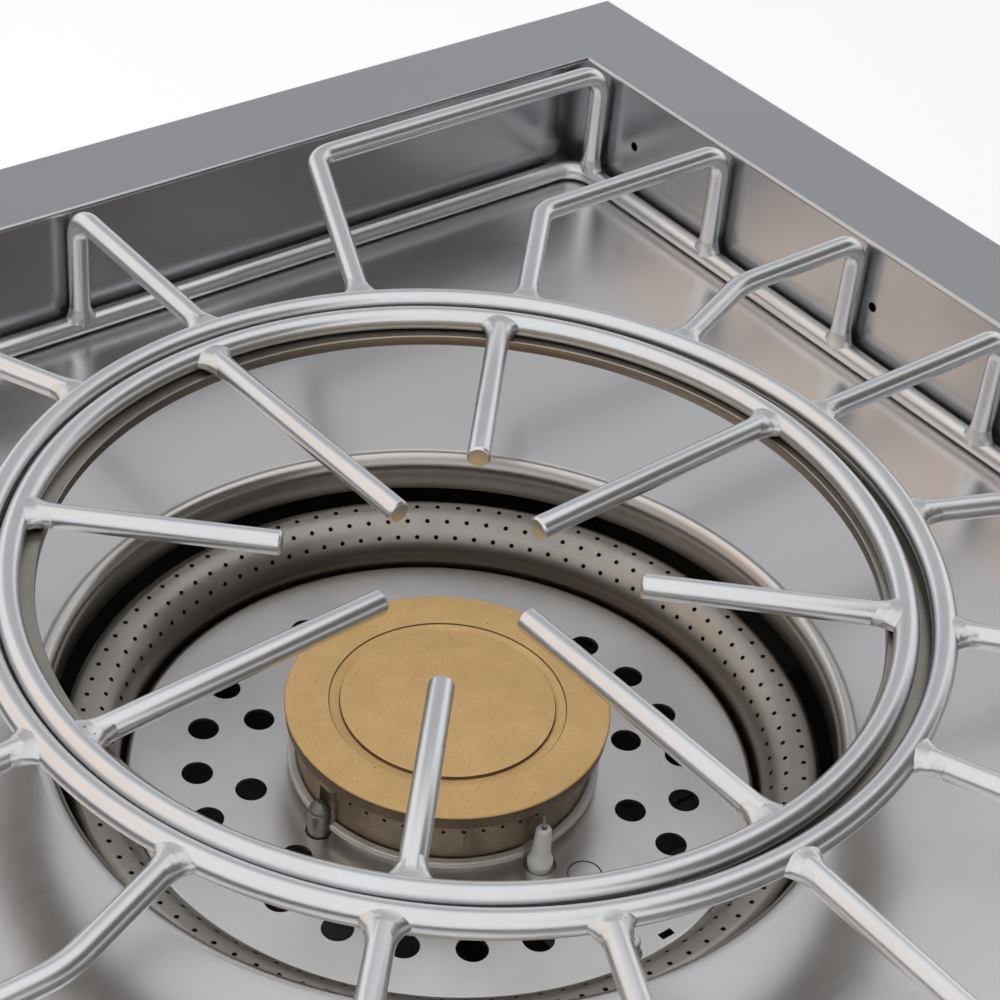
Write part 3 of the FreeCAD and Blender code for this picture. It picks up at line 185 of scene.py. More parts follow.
def movedBy(piece, x, y=0, z=0):
    selectOnly(piece)
    piece.location = (x, y, z)
    bpy.ops.object.transform_apply(location=True, rotation=True, scale=True)
    return piece


def turnedBy(piece, degrees, axis="Z"):
    selectOnly(piece)
    piece.rotation_euler = Matrix.Rotation(math.radians(degrees), 3, axis).to_euler()
    bpy.ops.object.transform_apply(location=True, rotation=True, scale=True)
    return piece


def copyOf(piece, name):
    selectOnly(piece)
    bpy.ops.object.duplicate()
    made = bpy.context.object
    made.name = made.data.name = name
    return made


def onCircle(radius, degrees, z=0):
    return Vector((radius * math.cos(math.radians(degrees)), radius * math.sin(math.radians(degrees)), z))


def cutterRow(name, radius, place, axis, depth, sides, count=1, stepDegrees=None):
    # One round cutter at place, repeated round the upright axis, evenly where no step is given
    selectOnly()
    bpy.ops.mesh.primitive_cylinder_add(vertices=sides, radius=radius, depth=depth, location=place,
                                        rotation=turnTo(axis))
    row = keepAs(name)
    if count > 1:
        turn = math.radians((stepDegrees or 360 / count) * (count - 1))
        editAll(row)
        spinBy(turn, (0, 0, 0), (0, 0, 1), count - 1, copies=True)
        selectOnly(row)
    return row


def paintFaces(piece, paint, chosen):
    # Another finish on the faces that chosen(radius, height, normal) picks
    piece.data.materials.append(paint)
    last = len(piece.data.materials) - 1
    for face in piece.data.polygons:
        if chosen(math.hypot(face.center.x, face.center.y), face.center.z, face.normal):
            face.material_index = last


def settle(piece, body, node, smoothDegrees=35, flatFaces=False):
    # From drawing millimetres into the frame, on its body and, where it has none, in its node's finish
    selectOnly(piece)
    piece.scale = [datum["mm"]] * 3
    piece.location = (0, datum["axisY"], datum["topZ"])
    bpy.ops.object.transform_apply(location=True, rotation=True, scale=True)
    bpy.ops.object.shade_smooth_by_angle(angle=math.radians(smoothDegrees))
    if flatFaces:
        applyModifier(piece, "WEIGHTED_NORMAL", weight=100, keep_sharp=True)
    if not piece.data.materials:
        piece.data.materials.append(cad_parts[node].data.materials[0])
    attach(piece, body)
    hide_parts(node)


# Camera at the photograph's angle
camera = {
    "place": (-0.3678, -0.3841, 0.7155),
    "azimuth": -41.1037,
    "elevation": 37.4509,
    "roll": 5.7462,
    "lens": 85.69,
    "sensor": 36.0,
    "nearest": 0.02,
}


def placeCamera():
    azimuth, elevation, roll = (math.radians(camera[key]) for key in ("azimuth", "elevation", "roll"))
    level = math.cos(elevation)
    back = Vector((math.sin(azimuth) * level, -math.cos(azimuth) * level, math.sin(elevation)))
    right = Vector((math.cos(azimuth), math.sin(azimuth), 0))
    up = back.cross(right)
    tiltedRight = right * math.cos(roll) + up * math.sin(roll)
    tiltedUp = up * math.cos(roll) - right * math.sin(roll)
    selectOnly()
    bpy.ops.object.camera_add()
    made = bpy.context.object
    made.name = "photoCamera"
    made.data.lens = camera["lens"]
    made.data.sensor_width = camera["sensor"]
    made.data.clip_start = camera["nearest"]
    axes = Matrix((tiltedRight, tiltedUp, back)).transposed().to_4x4()
    made.matrix_world = Matrix.Translation(camera["place"]) @ axes
    bpy.context.scene.camera = made


placeCamera()


# Studio: white floor, soft lamps that don't glare in the metal, and cards that only the metal sees
studio = {
    "floorColour": (0.80, 0.80, 0.80),
    "floorShade": (0.72, 0.72, 0.72),
    "floorGrain": 0.04,
    "floorRough": 0.9,
    "floorLift": 0.42,
    "floorSize": 12,
    "floorDrop": 0.0005,
    "worldLight": 0.42,
    "lamps": {
        "overheadLamp": {"place": (-0.35, 0.55, 1.75), "size": (2.1, 1.7), "watts": 13,
                         "tint": (0.97, 0.98, 1.0)},
        "sideLamp": {"place": (-1.35, -0.55, 0.95), "size": (1.3, 1.3), "watts": 5,
                     "tint": (1.0, 0.97, 0.93)},
        "frontLamp": {"place": (0.6, -1.6, 0.7), "size": (0.8, 0.8), "watts": 2,
                      "tint": (1.0, 1.0, 1.0)},
    },
    "cards": {
        "darkCard": {"toward": (0.57, -0.57, 0.52), "away": 1.3, "size": (1.75, 1.1),
                     "colour": (0.10, 0.088, 0.08)},
        "warmCard": {"toward": (-0.60, 0.50, 0.60), "away": 1.5, "size": (1.1, 1.0),
                     "colour": (1.08, 0.90, 0.75)},
        "coolCard": {"toward": (0.50, 0.66, 0.56), "away": 1.7, "size": (1.8, 1.3),
                     "colour": (0.485, 0.49, 0.51)},
    },
    "aim": (0, 0.05, 0.24),
}


def layFloor():
    selectOnly()
    bpy.ops.mesh.primitive_plane_add(size=studio["floorSize"], location=(0, 0, -studio["floorDrop"]))
    floor = keepAs("paleFloor")
    floor.data.materials.append(floorFinish("floorFinish"))


def hangLamps(aim):
    for name, lamp in studio["lamps"].items():
        turn = turnTo(aim - Vector(lamp["place"]), "-Z")
        bpy.ops.object.light_add(type="AREA", location=lamp["place"], rotation=turn)
        made = bpy.context.object
        made.name = name
        made.data.shape = "RECTANGLE"
        made.data.size, made.data.size_y = lamp["size"]
        made.data.energy = lamp["watts"]
        made.data.color = lamp["tint"]
        made.visible_glossy = False


def standCards(aim):
    for name, card in studio["cards"].items():
        toward = Vector(card["toward"]).normalized()
        selectOnly()
        place = aim + toward * card["away"]
        bpy.ops.mesh.primitive_plane_add(size=1, location=place, rotation=turnTo(-toward, "-Z"))
        made = bpy.context.object
        made.scale = (*card["size"], 1)
        made = keepAs(name)
        made.data.materials.append(glowFinish(f"{name}Finish", card["colour"]))
        for ray in ("camera", "diffuse", "transmission", "shadow"):
            setattr(made, f"visible_{ray}", False)


def lightWorld():
    world = bpy.data.worlds.new("studioWorld")
    bpy.context.scene.world = world
    world.use_nodes = True
    tree = world.node_tree
    shader = tree.nodes["Background"]
    shader.inputs["Color"].default_value = (1, 1, 1, 1)
    level = tree.nodes.new("ShaderNodeMapRange")
    level.inputs["To Min"].default_value = studio["worldLight"]
    tree.links.new(seenDirectly(tree), level.inputs["Value"])
    tree.links.new(level.outputs["Result"], shader.inputs["Strength"])


def setUpStudio():
    bpy.context.scene.view_settings.view_transform = "Standard"
    aim = Vector(studio["aim"])
    layFloor()
    hangLamps(aim)
    standCards(aim)
    lightWorld()


def seenDirectly(tree):
    # 1 where the camera, a reflection or something clear looks at the white studio
    rays = tree.nodes.new("ShaderNodeLightPath")
    either = mathNode(tree, "MAXIMUM", rays.outputs["Is Camera Ray"], rays.outputs["Is Glossy Ray"])
    return mathNode(tree, "MAXIMUM", either, rays.outputs["Is Transmission Ray"])


# Finishes, all procedural on Object coordinates in metres
def addNode(tree, kind, **values):
    made = tree.nodes.new(f"ShaderNode{kind}")
    for key, value in values.items():
        if hasattr(made, key):
            setattr(made, key, value)
        else:
            made.inputs[key].default_value = value
    return made


def mathNode(tree, operation, first, second):
    made = addNode(tree, "Math", operation=operation)
    for socket, value in zip(made.inputs, (first, second)):
        if isinstance(value, (int, float)):
            socket.default_value = value
        else:
            tree.links.new(value, socket)
    return made.outputs[0]


def newFinish(name):
    made = bpy.data.materials.new(name)
    made.use_nodes = True
    return made, made.node_tree, made.node_tree.nodes["Principled BSDF"]


def floorFinish(name):
    # The floor is lifted to white where it is looked at, and keeps its shadows
    made, tree, shader = newFinish(name)
    grain = spread(tree, objectNoise(tree, 3, 2), 0, studio["floorGrain"])
    tint = mixColours(tree, grain, studio["floorColour"], studio["floorShade"])
    tree.links.new(tint, shader.inputs["Base Color"])
    shader.inputs["Roughness"].default_value = studio["floorRough"]
    shader.inputs["Emission Color"].default_value = (1, 1, 1, 1)
    lift = mathNode(tree, "MULTIPLY", seenDirectly(tree), studio["floorLift"])
    tree.links.new(lift, shader.inputs["Emission Strength"])
    return made


def glowFinish(name, colour):
    made = bpy.data.materials.new(name)
    made.use_nodes = True
    tree = made.node_tree
    tree.nodes.clear()
    glow = addNode(tree, "Emission", Color=(*colour, 1), Strength=1.0)
    out = tree.nodes.new("ShaderNodeOutputMaterial")
    tree.links.new(glow.outputs[0], out.inputs["Surface"])
    return made


def objectNoise(tree, scale, detail, rough=0.55, stretch=(1, 1, 1)):
    # Noise on Object coordinates in metres, stretched for a brushed grain
    place = addNode(tree, "TexCoord")
    mapping = addNode(tree, "Mapping", Scale=stretch)
    noise = addNode(tree, "TexNoise", Scale=scale, Detail=detail, Roughness=rough)
    tree.links.new(place.outputs["Object"], mapping.inputs["Vector"])
    tree.links.new(mapping.outputs["Vector"], noise.inputs["Vector"])
    return noise.outputs["Fac"]


def spread(tree, source, low, high, fromLow=0.3, fromHigh=0.7):
    made = addNode(tree, "MapRange")
    for key, value in (("From Min", fromLow), ("From Max", fromHigh), ("To Min", low), ("To Max", high)):
        made.inputs[key].default_value = value
    tree.links.new(source, made.inputs["Value"])
    return made.outputs["Result"]


def mixColours(tree, share, first, second):
    # A Mix node's colours are its inputs 6 and 7 and its output 2
    made = addNode(tree, "Mix", data_type="RGBA")
    tree.links.new(share, made.inputs["Factor"])
    for key, value in ((6, first), (7, second)):
        if isinstance(value, tuple):
            made.inputs[key].default_value = (*value, 1)
        else:
            tree.links.new(value, made.inputs[key])
    return made.outputs[2]


def pitted(tree, look, colour):
    # Fine dark pits scattered over the surface
    place = addNode(tree, "TexCoord")
    cells = addNode(tree, "TexVoronoi", Scale=look["pitScale"])
    tree.links.new(place.outputs["Object"], cells.inputs["Vector"])
    patches = objectNoise(tree, look["pitScale"] / 5, 2)
    rare = spread(tree, patches, 0, look["pitSize"], fromLow=0.5, fromHigh=0.75)
    share = mathNode(tree, "LESS_THAN", cells.outputs["Distance"], rare)
    return mixColours(tree, share, colour, look["pitColour"])


def darkerBelow(tree, look, colour):
    # Darker towards the bottom of the piece, below the given frame heights
    place = addNode(tree, "TexCoord")
    axes = addNode(tree, "SeparateXYZ")
    tree.links.new(place.outputs["Object"], axes.inputs[0])
    heat = spread(tree, axes.outputs["Z"], 1, 0, *look["lowHeights"])
    return mixColours(tree, heat, colour, look["lowColour"])


def metalFinish(name, look):
    # Fine grain, soft blotches, pits where it has them, and a little unevenness
    made, tree, shader = newFinish(name)
    shader.inputs["Metallic"].default_value = look.get("metal", 1.0)
    blotch = objectNoise(tree, look["blotchScale"], 3)
    tint = mixColours(tree, spread(tree, blotch, 0, 1), look["colour"], look["shade"])
    stretch, detail = look.get("grain", (1, 1, 1)), look.get("grainDetail", 3)
    grain = objectNoise(tree, look["grainScale"], detail, 0.6, stretch)
    fine = mixColours(tree, spread(tree, grain, 0, look["grainTint"]), tint, look["shade"])
    if "pitScale" in look:
        fine = pitted(tree, look, fine)
    if "lowColour" in look:
        fine = darkerBelow(tree, look, fine)
    tree.links.new(fine, shader.inputs["Base Color"])
    rough = spread(tree, grain, look["rough"] - look["roughSpread"], look["rough"] + look["roughSpread"])
    tree.links.new(rough, shader.inputs["Roughness"])
    bump = addNode(tree, "Bump", Strength=look["bump"], Distance=look["bumpDepth"])
    tree.links.new(grain, bump.inputs["Height"])
    if "wave" in look:
        wave = addNode(tree, "Bump", Strength=look["wave"], Distance=look["waveDepth"])
        tree.links.new(objectNoise(tree, look["waveScale"], 2), wave.inputs["Height"])
        tree.links.new(bump.outputs["Normal"], wave.inputs["Normal"])
        bump = wave
    tree.links.new(bump.outputs["Normal"], shader.inputs["Normal"])
    return made


finishes = {
    # linear colours, scales of noise on Object coordinates in metres, roughness and bump; the grain runs
    # evenly unless it is stretched, and heights are in the frame
    "sheetFinish": {
        "colour": (0.53, 0.535, 0.555), "shade": (0.50, 0.50, 0.515), "blotchScale": 6,
        "grain": (1, 10, 10), "grainScale": 45, "grainDetail": 1, "grainTint": 0.3, "rough": 0.245,
        "roughSpread": 0.012, "bump": 0.02, "bumpDepth": 0.00002,
    },
    "panFinish": {
        "colour": (0.84, 0.835, 0.84), "shade": (0.79, 0.775, 0.77), "blotchScale": 7,
        "grain": (1, 10, 10), "grainScale": 45, "grainDetail": 1, "grainTint": 0.15, "rough": 0.24,
        "roughSpread": 0.015, "bump": 0.02, "bumpDepth": 0.00002, "wave": 0.02, "waveScale": 7,
        "waveDepth": 0.0006, "lowColour": (0.42, 0.395, 0.37), "lowHeights": (0.1962, 0.1979),
    },
    "barFinish": {
        "colour": (0.73, 0.74, 0.76), "shade": (0.69, 0.695, 0.71), "blotchScale": 40, "grainScale": 500,
        "grainDetail": 1, "grainTint": 0.2, "rough": 0.305, "roughSpread": 0.012, "bump": 0.02,
        "bumpDepth": 0.00002,
    },
    "flatRingFinish": {
        "colour": (0.42, 0.39, 0.355), "shade": (0.35, 0.32, 0.285), "blotchScale": 30, "grainScale": 400,
        "grainDetail": 1, "grainTint": 0.3, "rough": 0.31, "roughSpread": 0.02, "bump": 0.04,
        "bumpDepth": 0.00003,
    },
    "weldFinish": {
        "colour": (0.74, 0.745, 0.755), "shade": (0.63, 0.63, 0.63), "blotchScale": 260,
        "grainScale": 450, "grainDetail": 2, "grainTint": 0.3, "rough": 0.33, "roughSpread": 0.04,
        "bump": 0.12, "bumpDepth": 0.00015, "pitScale": 420, "pitSize": 0.30,
        "pitColour": (0.16, 0.14, 0.125),
    },
    # the cover darkens towards its foot: painted shade, deepest on the inner wall down by the plate
    "burnerFinish": {
        "colour": (0.43, 0.41, 0.385), "shade": (0.33, 0.31, 0.285), "blotchScale": 40,
        "grainScale": 1400, "grainTint": 0.4, "rough": 0.36, "roughSpread": 0.05, "bump": 0.08,
        "bumpDepth": 0.00005, "lowColour": (0.13, 0.105, 0.085), "lowHeights": (0.169, 0.178),
    },
    "plateFinish": {
        "colour": (0.80, 0.79, 0.785), "shade": (0.71, 0.695, 0.685), "blotchScale": 45,
        "grainScale": 700, "grainDetail": 1, "grainTint": 0.2, "rough": 0.31, "roughSpread": 0.02,
        "bump": 0.06, "bumpDepth": 0.00003,
    },
    "innerFinish": {
        "colour": (0.50, 0.50, 0.50), "shade": (0.40, 0.395, 0.39), "blotchScale": 22, "grainScale": 350,
        "grainTint": 0.5, "rough": 0.42, "roughSpread": 0.10, "bump": 0.12, "bumpDepth": 0.0001,
    },
    "brassFinish": {
        "colour": (0.765, 0.51, 0.226), "shade": (0.63, 0.405, 0.17), "blotchScale": 110,
        "grainScale": 1200, "grainDetail": 2, "grainTint": 0.8, "rough": 0.58, "roughSpread": 0.08,
        "bump": 0.5, "bumpDepth": 0.00012, "metal": 0.35, "pitScale": 800, "pitSize": 0.26,
        "pitColour": (0.17, 0.10, 0.045),
    },
    # painted shade for the steep walls of the cap's groove
    "grooveShadeFinish": {
        "colour": (0.17, 0.115, 0.06), "shade": (0.10, 0.065, 0.035), "blotchScale": 160,
        "grainScale": 1300, "grainTint": 0.5, "rough": 0.6, "roughSpread": 0.08, "bump": 0.3,
        "bumpDepth": 0.0001, "metal": 0.4,
    },
    "capRimFinish": {
        "colour": (0.25, 0.185, 0.115), "shade": (0.16, 0.12, 0.08), "blotchScale": 90,
        "grainScale": 1100, "grainTint": 0.6, "rough": 0.52, "roughSpread": 0.08, "bump": 0.4,
        "bumpDepth": 0.00012, "metal": 0.6,
    },
    "drumFinish": {
        "colour": (0.41, 0.33, 0.245), "shade": (0.25, 0.20, 0.155), "blotchScale": 90, "grainScale": 900,
        "grainTint": 0.5, "rough": 0.44, "roughSpread": 0.08, "bump": 0.35, "bumpDepth": 0.00012,
    },
    "turnedBrassFinish": {
        "colour": (0.72, 0.50, 0.21), "shade": (0.60, 0.40, 0.16), "blotchScale": 80, "grainScale": 700,
        "grainTint": 0.3, "rough": 0.34, "roughSpread": 0.06, "bump": 0.1, "bumpDepth": 0.00006,
    },
    "castingFinish": {
        "colour": (0.72, 0.69, 0.65), "shade": (0.54, 0.515, 0.485), "blotchScale": 110,
        "grainScale": 900, "grainTint": 0.5, "rough": 0.46, "roughSpread": 0.08, "bump": 0.6,
        "bumpDepth": 0.00016, "metal": 0.6,
    },
    "pinFinish": {
        "colour": (0.34, 0.335, 0.32), "shade": (0.24, 0.235, 0.22), "blotchScale": 150,
        "grainScale": 1200, "grainTint": 0.5, "rough": 0.46, "roughSpread": 0.08, "bump": 0.4,
        "bumpDepth": 0.0001,
    },
    "steelFinish": {
        "colour": (0.50, 0.50, 0.49), "shade": (0.40, 0.39, 0.38), "blotchScale": 150, "grainScale": 1200,
        "grainTint": 0.3, "rough": 0.34, "roughSpread": 0.08, "bump": 0.1, "bumpDepth": 0.00005,
    },
    "knobFinish": {
        "colour": (0.62, 0.62, 0.625), "shade": (0.55, 0.545, 0.54), "blotchScale": 60,
        "grainScale": 1200, "grainTint": 0.3, "rough": 0.31, "roughSpread": 0.02, "bump": 0.08,
        "bumpDepth": 0.00005,
    },
    "markFinish": {
        "colour": (0.02, 0.02, 0.022), "shade": (0.03, 0.03, 0.032), "blotchScale": 90,
        "grainScale": 1500, "grainTint": 0.3, "rough": 0.5, "roughSpread": 0.05, "bump": 0.1,
        "bumpDepth": 0.00004, "metal": 0.0,
    },
    "pipeFinish": {
        "colour": (0.46, 0.455, 0.44), "shade": (0.36, 0.35, 0.34), "blotchScale": 40, "grainScale": 500,
        "grainTint": 0.5, "rough": 0.44, "roughSpread": 0.10, "bump": 0.15, "bumpDepth": 0.0001,
    },
    "valveFinish": {
        "colour": (0.52, 0.51, 0.50), "shade": (0.42, 0.41, 0.40), "blotchScale": 70, "grainScale": 800,
        "grainTint": 0.5, "rough": 0.42, "roughSpread": 0.08, "bump": 0.2, "bumpDepth": 0.0001,
    },
    "ceramicFinish": {
        "colour": (0.80, 0.795, 0.775), "shade": (0.73, 0.72, 0.695), "blotchScale": 160,
        "grainScale": 700, "grainTint": 0.3, "rough": 0.32, "roughSpread": 0.05, "bump": 0.05,
        "bumpDepth": 0.00005, "metal": 0.0,
    },
    "mouldingFinish": {
        "colour": (0.022, 0.022, 0.024), "shade": (0.035, 0.035, 0.037), "blotchScale": 60,
        "grainScale": 1800, "grainTint": 0.4, "rough": 0.42, "roughSpread": 0.06, "bump": 0.25,
        "bumpDepth": 0.00006, "metal": 0.0,
    },
}
finish = {name: metalFinish(name, look) for name, look in finishes.items()}

nodeFinishes = {
    "sheetFinish": ["top_frame", "control_panel"],
    "panFinish": ["drip_pan"],
    "innerFinish": ["left_side_panel", "right_side_panel", "back_panel", "bottom_panel", "heat_shield",
                    "burner_bridge", "ring_burner_feet", "manifold_brackets"],
    "burnerFinish": ["ring_burner_cover", "ring_burner_channel", "ring_burner_tube", "centre_burner_tube",
                     "left_air_shutter", "right_air_shutter"],
    "plateFinish": ["burner_plate"],
    "flatRingFinish": ["bar_ring"],
    "barFinish": ["base_loop", "outer_ring", "cross_arms", "side_arms", "diagonal_arms",
                  "corner_arms", "insert_ring", "long_fingers", "short_fingers"],
    "brassFinish": ["brass_cap"],
    "drumFinish": ["burner_drum"],
    "turnedBrassFinish": ["left_orifice", "right_orifice"],
    "castingFinish": ["burner_casting", "burner_seat"],
    "valveFinish": ["left_valve", "right_valve"],
    "ceramicFinish": ["centre_electrode", "ring_electrode"],
    "pinFinish": ["sensor_pin"],
    "steelFinish": ["electrode_wires", "left_stem", "right_stem", "left_spring_seat",
                    "right_spring_seat", "bridge_screws"],
    "mouldingFinish": ["left_igniter", "right_igniter"],
    "knobFinish": ["left_bezel", "right_bezel", "left_knob", "right_knob"],
    "pipeFinish": ["manifold_pipe", "inlet_fitting"],
}
for finishName, nodes in nodeFinishes.items():
    for node in nodes:
        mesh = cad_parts[node].data
        mesh.materials.clear()
        mesh.materials.append(finish[finishName])
setUpStudio()
print("finishes and studio ready")


# Round bar of the grate and of the insert
bar = {
    "radius": 4.0,
    "height": 1.4,
    "ringRadius": 148.5,
    "insertRadius": 138.0,
    "grateShift": 2.4,
    "insertShift": 0.4,
    "loopX": 245.0,
    "loopY": 240.0,
    "loopCorner": 12.0,
    "loopZ": -47.7,
    "topBend": 10.0,
    "tipChamfer": 0.7,
    "tipEdge": 0.18,
    "sides": 32,
    "ringSides": 192,
}
arms = {
    # node: angle on the ring, corner's x and y, bend
    "side_arms": (22.5, 183.0, 75.5, 36.0),
    "diagonal_arms": (45.0, 152.0, 154.0, 13.0),
    "corner_arms": (67.5, 100.0, 231.0, 11.0),
}
fingers = {
    # node: tip's distance from the centre, first angle
    "long_fingers": (31.0, 2.3),
    "short_fingers": (56.0, 47.3),
}
weld = {
    # distance out from the bar's middle, half width along the bar, half height
    "flare": [(0.4, 8.6, 3.80), (1.4, 8.5, 3.78), (2.4, 8.1, 3.70), (3.8, 7.1, 3.70), (5.0, 6.1, 3.80),
              (6.6, 5.1, 3.88), (8.8, 4.4, 3.92), (11.0, 4.1, 3.9), (12.0, 3.8, 3.7)],
    "foot": [(0.4, 7.8, 3.8), (1.4, 7.7, 3.8), (2.6, 7.2, 3.75), (4.0, 6.0, 4.0), (5.4, 5.0, 4.15),
             (7.5, 4.3, 4.1), (10.0, 3.8, 3.8)],
    "start": 5.5,
    "sides": 28,
    "lump": 0.28,
    "lumpSize": 2.4,
    "lumpDetail": 2,
}

weldLumps = bpy.data.textures.new("weldLumps", "CLOUDS")
weldLumps.noise_scale = weld["lumpSize"]
weldLumps.noise_depth = weld["lumpDetail"]


def buildFlare(name, sections):
    # A weld's fillet, drawn out along X from the middle of the bar that it sits on
    out, along, high = sections[0]
    made = sectionCircle(name, (out, 0, 0), (1, 0, 0), 1, weld["sides"])
    editAll(made)
    bpy.ops.transform.resize(value=(1, along, high), center_override=(out, 0, 0))
    for before, after in zip(sections, sections[1:]):
        extrudeBy(Vector((after[0] - before[0], 0, 0)))
        wider, higher = after[1] / before[1], after[2] / before[2]
        bpy.ops.transform.resize(value=(1, wider, higher), center_override=(after[0], 0, 0))
    closeEnds()
    cleanMesh(made)
    applyModifier(made, "SUBSURF", levels=2)
    made.data.materials.append(finish["weldFinish"])
    return made


ringFlare = buildFlare("ringFlare", weld["flare"])
footFlare = buildFlare("footFlare", weld["foot"])


def weldAt(flare, place, turn, upright=False):
    # Each weld is a copy with lumps of its own
    made = copyOf(flare, "weld")
    if upright:
        turnedBy(made, -90, "Y")
    turnedBy(made, turn)
    movedBy(made, *place)
    applyModifier(made, "DISPLACE", texture=weldLumps, texture_coords="GLOBAL", strength=weld["lump"],
                  mid_level=0.5)
    return made


def barRing(name, radius):
    ring = sectionCircle(name, (radius, 0, bar["height"]), (0, 1, 0), bar["radius"], bar["sides"])
    editAll(ring)
    spinBy(math.tau, (0, 0, 0), (0, 0, 1), bar["ringSides"])
    cleanMesh(ring)
    return ring


def armWith(corners, bends, ringAngle):
    made = bentBar("arm", corners, bends, bar["radius"], bar["sides"])
    made.data.materials.append(finish["barFinish"])
    foot = corners[-1]
    alongX = abs(abs(foot[1]) - bar["loopY"]) < 1
    ringWeld = weldAt(ringFlare, onCircle(bar["ringRadius"], ringAngle, bar["height"]), ringAngle)
    return [made, ringWeld, weldAt(footFlare, foot, 90 if alongX else 0, upright=True)]


def buildArms(name, node):
    # One arm in each quarter, its mirror images in the other three
    angle, run, reach, bend = arms[node]
    start = onCircle(bar["ringRadius"] + weld["start"], angle, bar["height"])
    top, out = bar["height"], bar["loopX"]
    pieces = []
    for sideX in (1, -1):
        for sideY in (1, -1):
            corners = [(start.x * sideX, start.y * sideY, top), (run * sideX, reach * sideY, top),
                       (out * sideX, reach * sideY, top), (out * sideX, reach * sideY, bar["loopZ"])]
            ringAngle = math.degrees(math.atan2(start.y * sideY, start.x * sideX))
            pieces += armWith(corners, [bend, bar["topBend"]], ringAngle)
    return movedBy(joinInto(name, pieces), bar["grateShift"])


def buildCrossArms():
    out, deep = bar["loopX"], bar["loopY"]
    pieces = []
    for turn, end in ((0, (out, 0)), (90, (0, deep)), (180, (-out, 0)), (270, (0, -deep))):
        start = onCircle(bar["ringRadius"] + weld["start"], turn, bar["height"])
        corners = [start, (*end, bar["height"]), (*end, bar["loopZ"])]
        pieces += armWith(corners, [bar["topBend"]], turn)
    return movedBy(joinInto("crossArms", pieces), bar["grateShift"])


def buildLoop():
    x, y, z = bar["loopX"], bar["loopY"], bar["loopZ"]
    corners = [(x, 0, z), (x, y, z), (-x, y, z), (-x, -y, z), (x, -y, z), (x, 0, z)]
    loop = sectionCircle("baseLoop", corners[0], (0, 1, 0), bar["radius"], bar["sides"])
    editAll(loop)
    followPath(corners, [bar["loopCorner"]] * 4)
    cleanMesh(loop)
    return movedBy(loop, bar["grateShift"])


def buildFingers(name, node):
    tip, first = fingers[node]
    radius, height, chamfer = bar["radius"], bar["height"], bar["tipChamfer"]
    start = bar["insertRadius"] - weld["start"]
    made = sectionCircle("finger", (start, 0, height), (-1, 0, 0), radius, bar["sides"])
    editAll(made)
    followPath([(start, 0, 0), (tip + chamfer, 0, 0)])
    extrudeBy(Vector((-chamfer, 0, 0)))
    narrower = (radius - chamfer) / radius
    bpy.ops.transform.resize(value=[narrower] * 3, center_override=(tip, 0, height))
    closeEnds()
    cleanMesh(made)
    breakEdges(made, bar["tipEdge"], 30)
    made.data.materials.append(finish["barFinish"])
    pieces = []
    for quarter in range(4):
        angle = first + 90 * quarter
        pieces.append(turnedBy(copyOf(made, "finger"), angle))
        pieces.append(weldAt(ringFlare, onCircle(bar["insertRadius"], angle, height), angle + 180))
    bpy.data.objects.remove(made)
    return movedBy(joinInto(name, pieces), bar["insertShift"])


outerRing = movedBy(barRing("outerRing", bar["ringRadius"]), bar["grateShift"])
settle(outerRing, "grate", "outer_ring")
insertRing = movedBy(barRing("insertRing", bar["insertRadius"]), bar["insertShift"])
settle(insertRing, "insert", "insert_ring")
settle(buildLoop(), "grate", "base_loop")
settle(buildCrossArms(), "grate", "cross_arms")
for name, node in (("sideArms", "side_arms"), ("diagonalArms", "diagonal_arms"),
                   ("cornerArms", "corner_arms")):
    settle(buildArms(name, node), "grate", node)
for name, node in (("longFingers", "long_fingers"), ("shortFingers", "short_fingers")):
    settle(buildFingers(name, node), "insert", node)
bpy.data.objects.remove(ringFlare)
bpy.data.objects.remove(footFlare)

# Flat ring under the grate's ring, which the insert stands on
flatRing = {"inner": 131.5, "outer": 147.5, "top": -2.9, "thick": 4.0, "edge": 0.5}


def buildFlatRing():
    inner, outer, top = flatRing["inner"], flatRing["outer"], flatRing["top"]
    low = top - flatRing["thick"]
    middle = (top + low) / 2
    corners = [(inner, middle), (inner, top), (outer, top), (outer, low), (inner, low), (inner, middle)]
    made = turnedPiece("flatRing", corners, [flatRing["edge"]] * 4, bar["ringSides"], stepDegrees=30)
    return movedBy(made, bar["grateShift"])


settle(buildFlatRing(), "grate", "bar_ring")
print("grate and insert ready")


# Drip pan: a flat floor rolled down round the burners in a collar
pan = {
    "halfWidth": 252.4,
    "halfDepth": 245.4,
    "floor": -52.0,
    "collar": 127.0,
    "bend": 6.0,
    "depth": 14.0,
    "gauge": 1.2,
    "lead": 3.0,
    "sides": 240,
}


def buildPan():
    top, collar, bend, gauge, lead = (pan[key] for key in ("floor", "collar", "bend", "gauge", "lead"))
    under, low = top - gauge, top - pan["depth"]
    outer = collar + gauge
    flat = collar + bend + lead
    reach = math.hypot(pan["halfWidth"], pan["halfDepth"]) + lead
    corners = [(reach, top), (flat, top), (collar, top), (collar, low), (outer, low), (outer, under),
               (flat, under), (reach, under), (reach, top)]
    made = turnedPiece("dripPan", corners, [0, bend, 0, 0, bend - gauge], pan["sides"], stepDegrees=9)
    trimToBox(made, pan["halfWidth"], pan["halfDepth"], low - lead, top + lead)
    return made


settle(buildPan(), "cabinet", "drip_pan", 40, flatFaces=True)
print("drip pan ready")


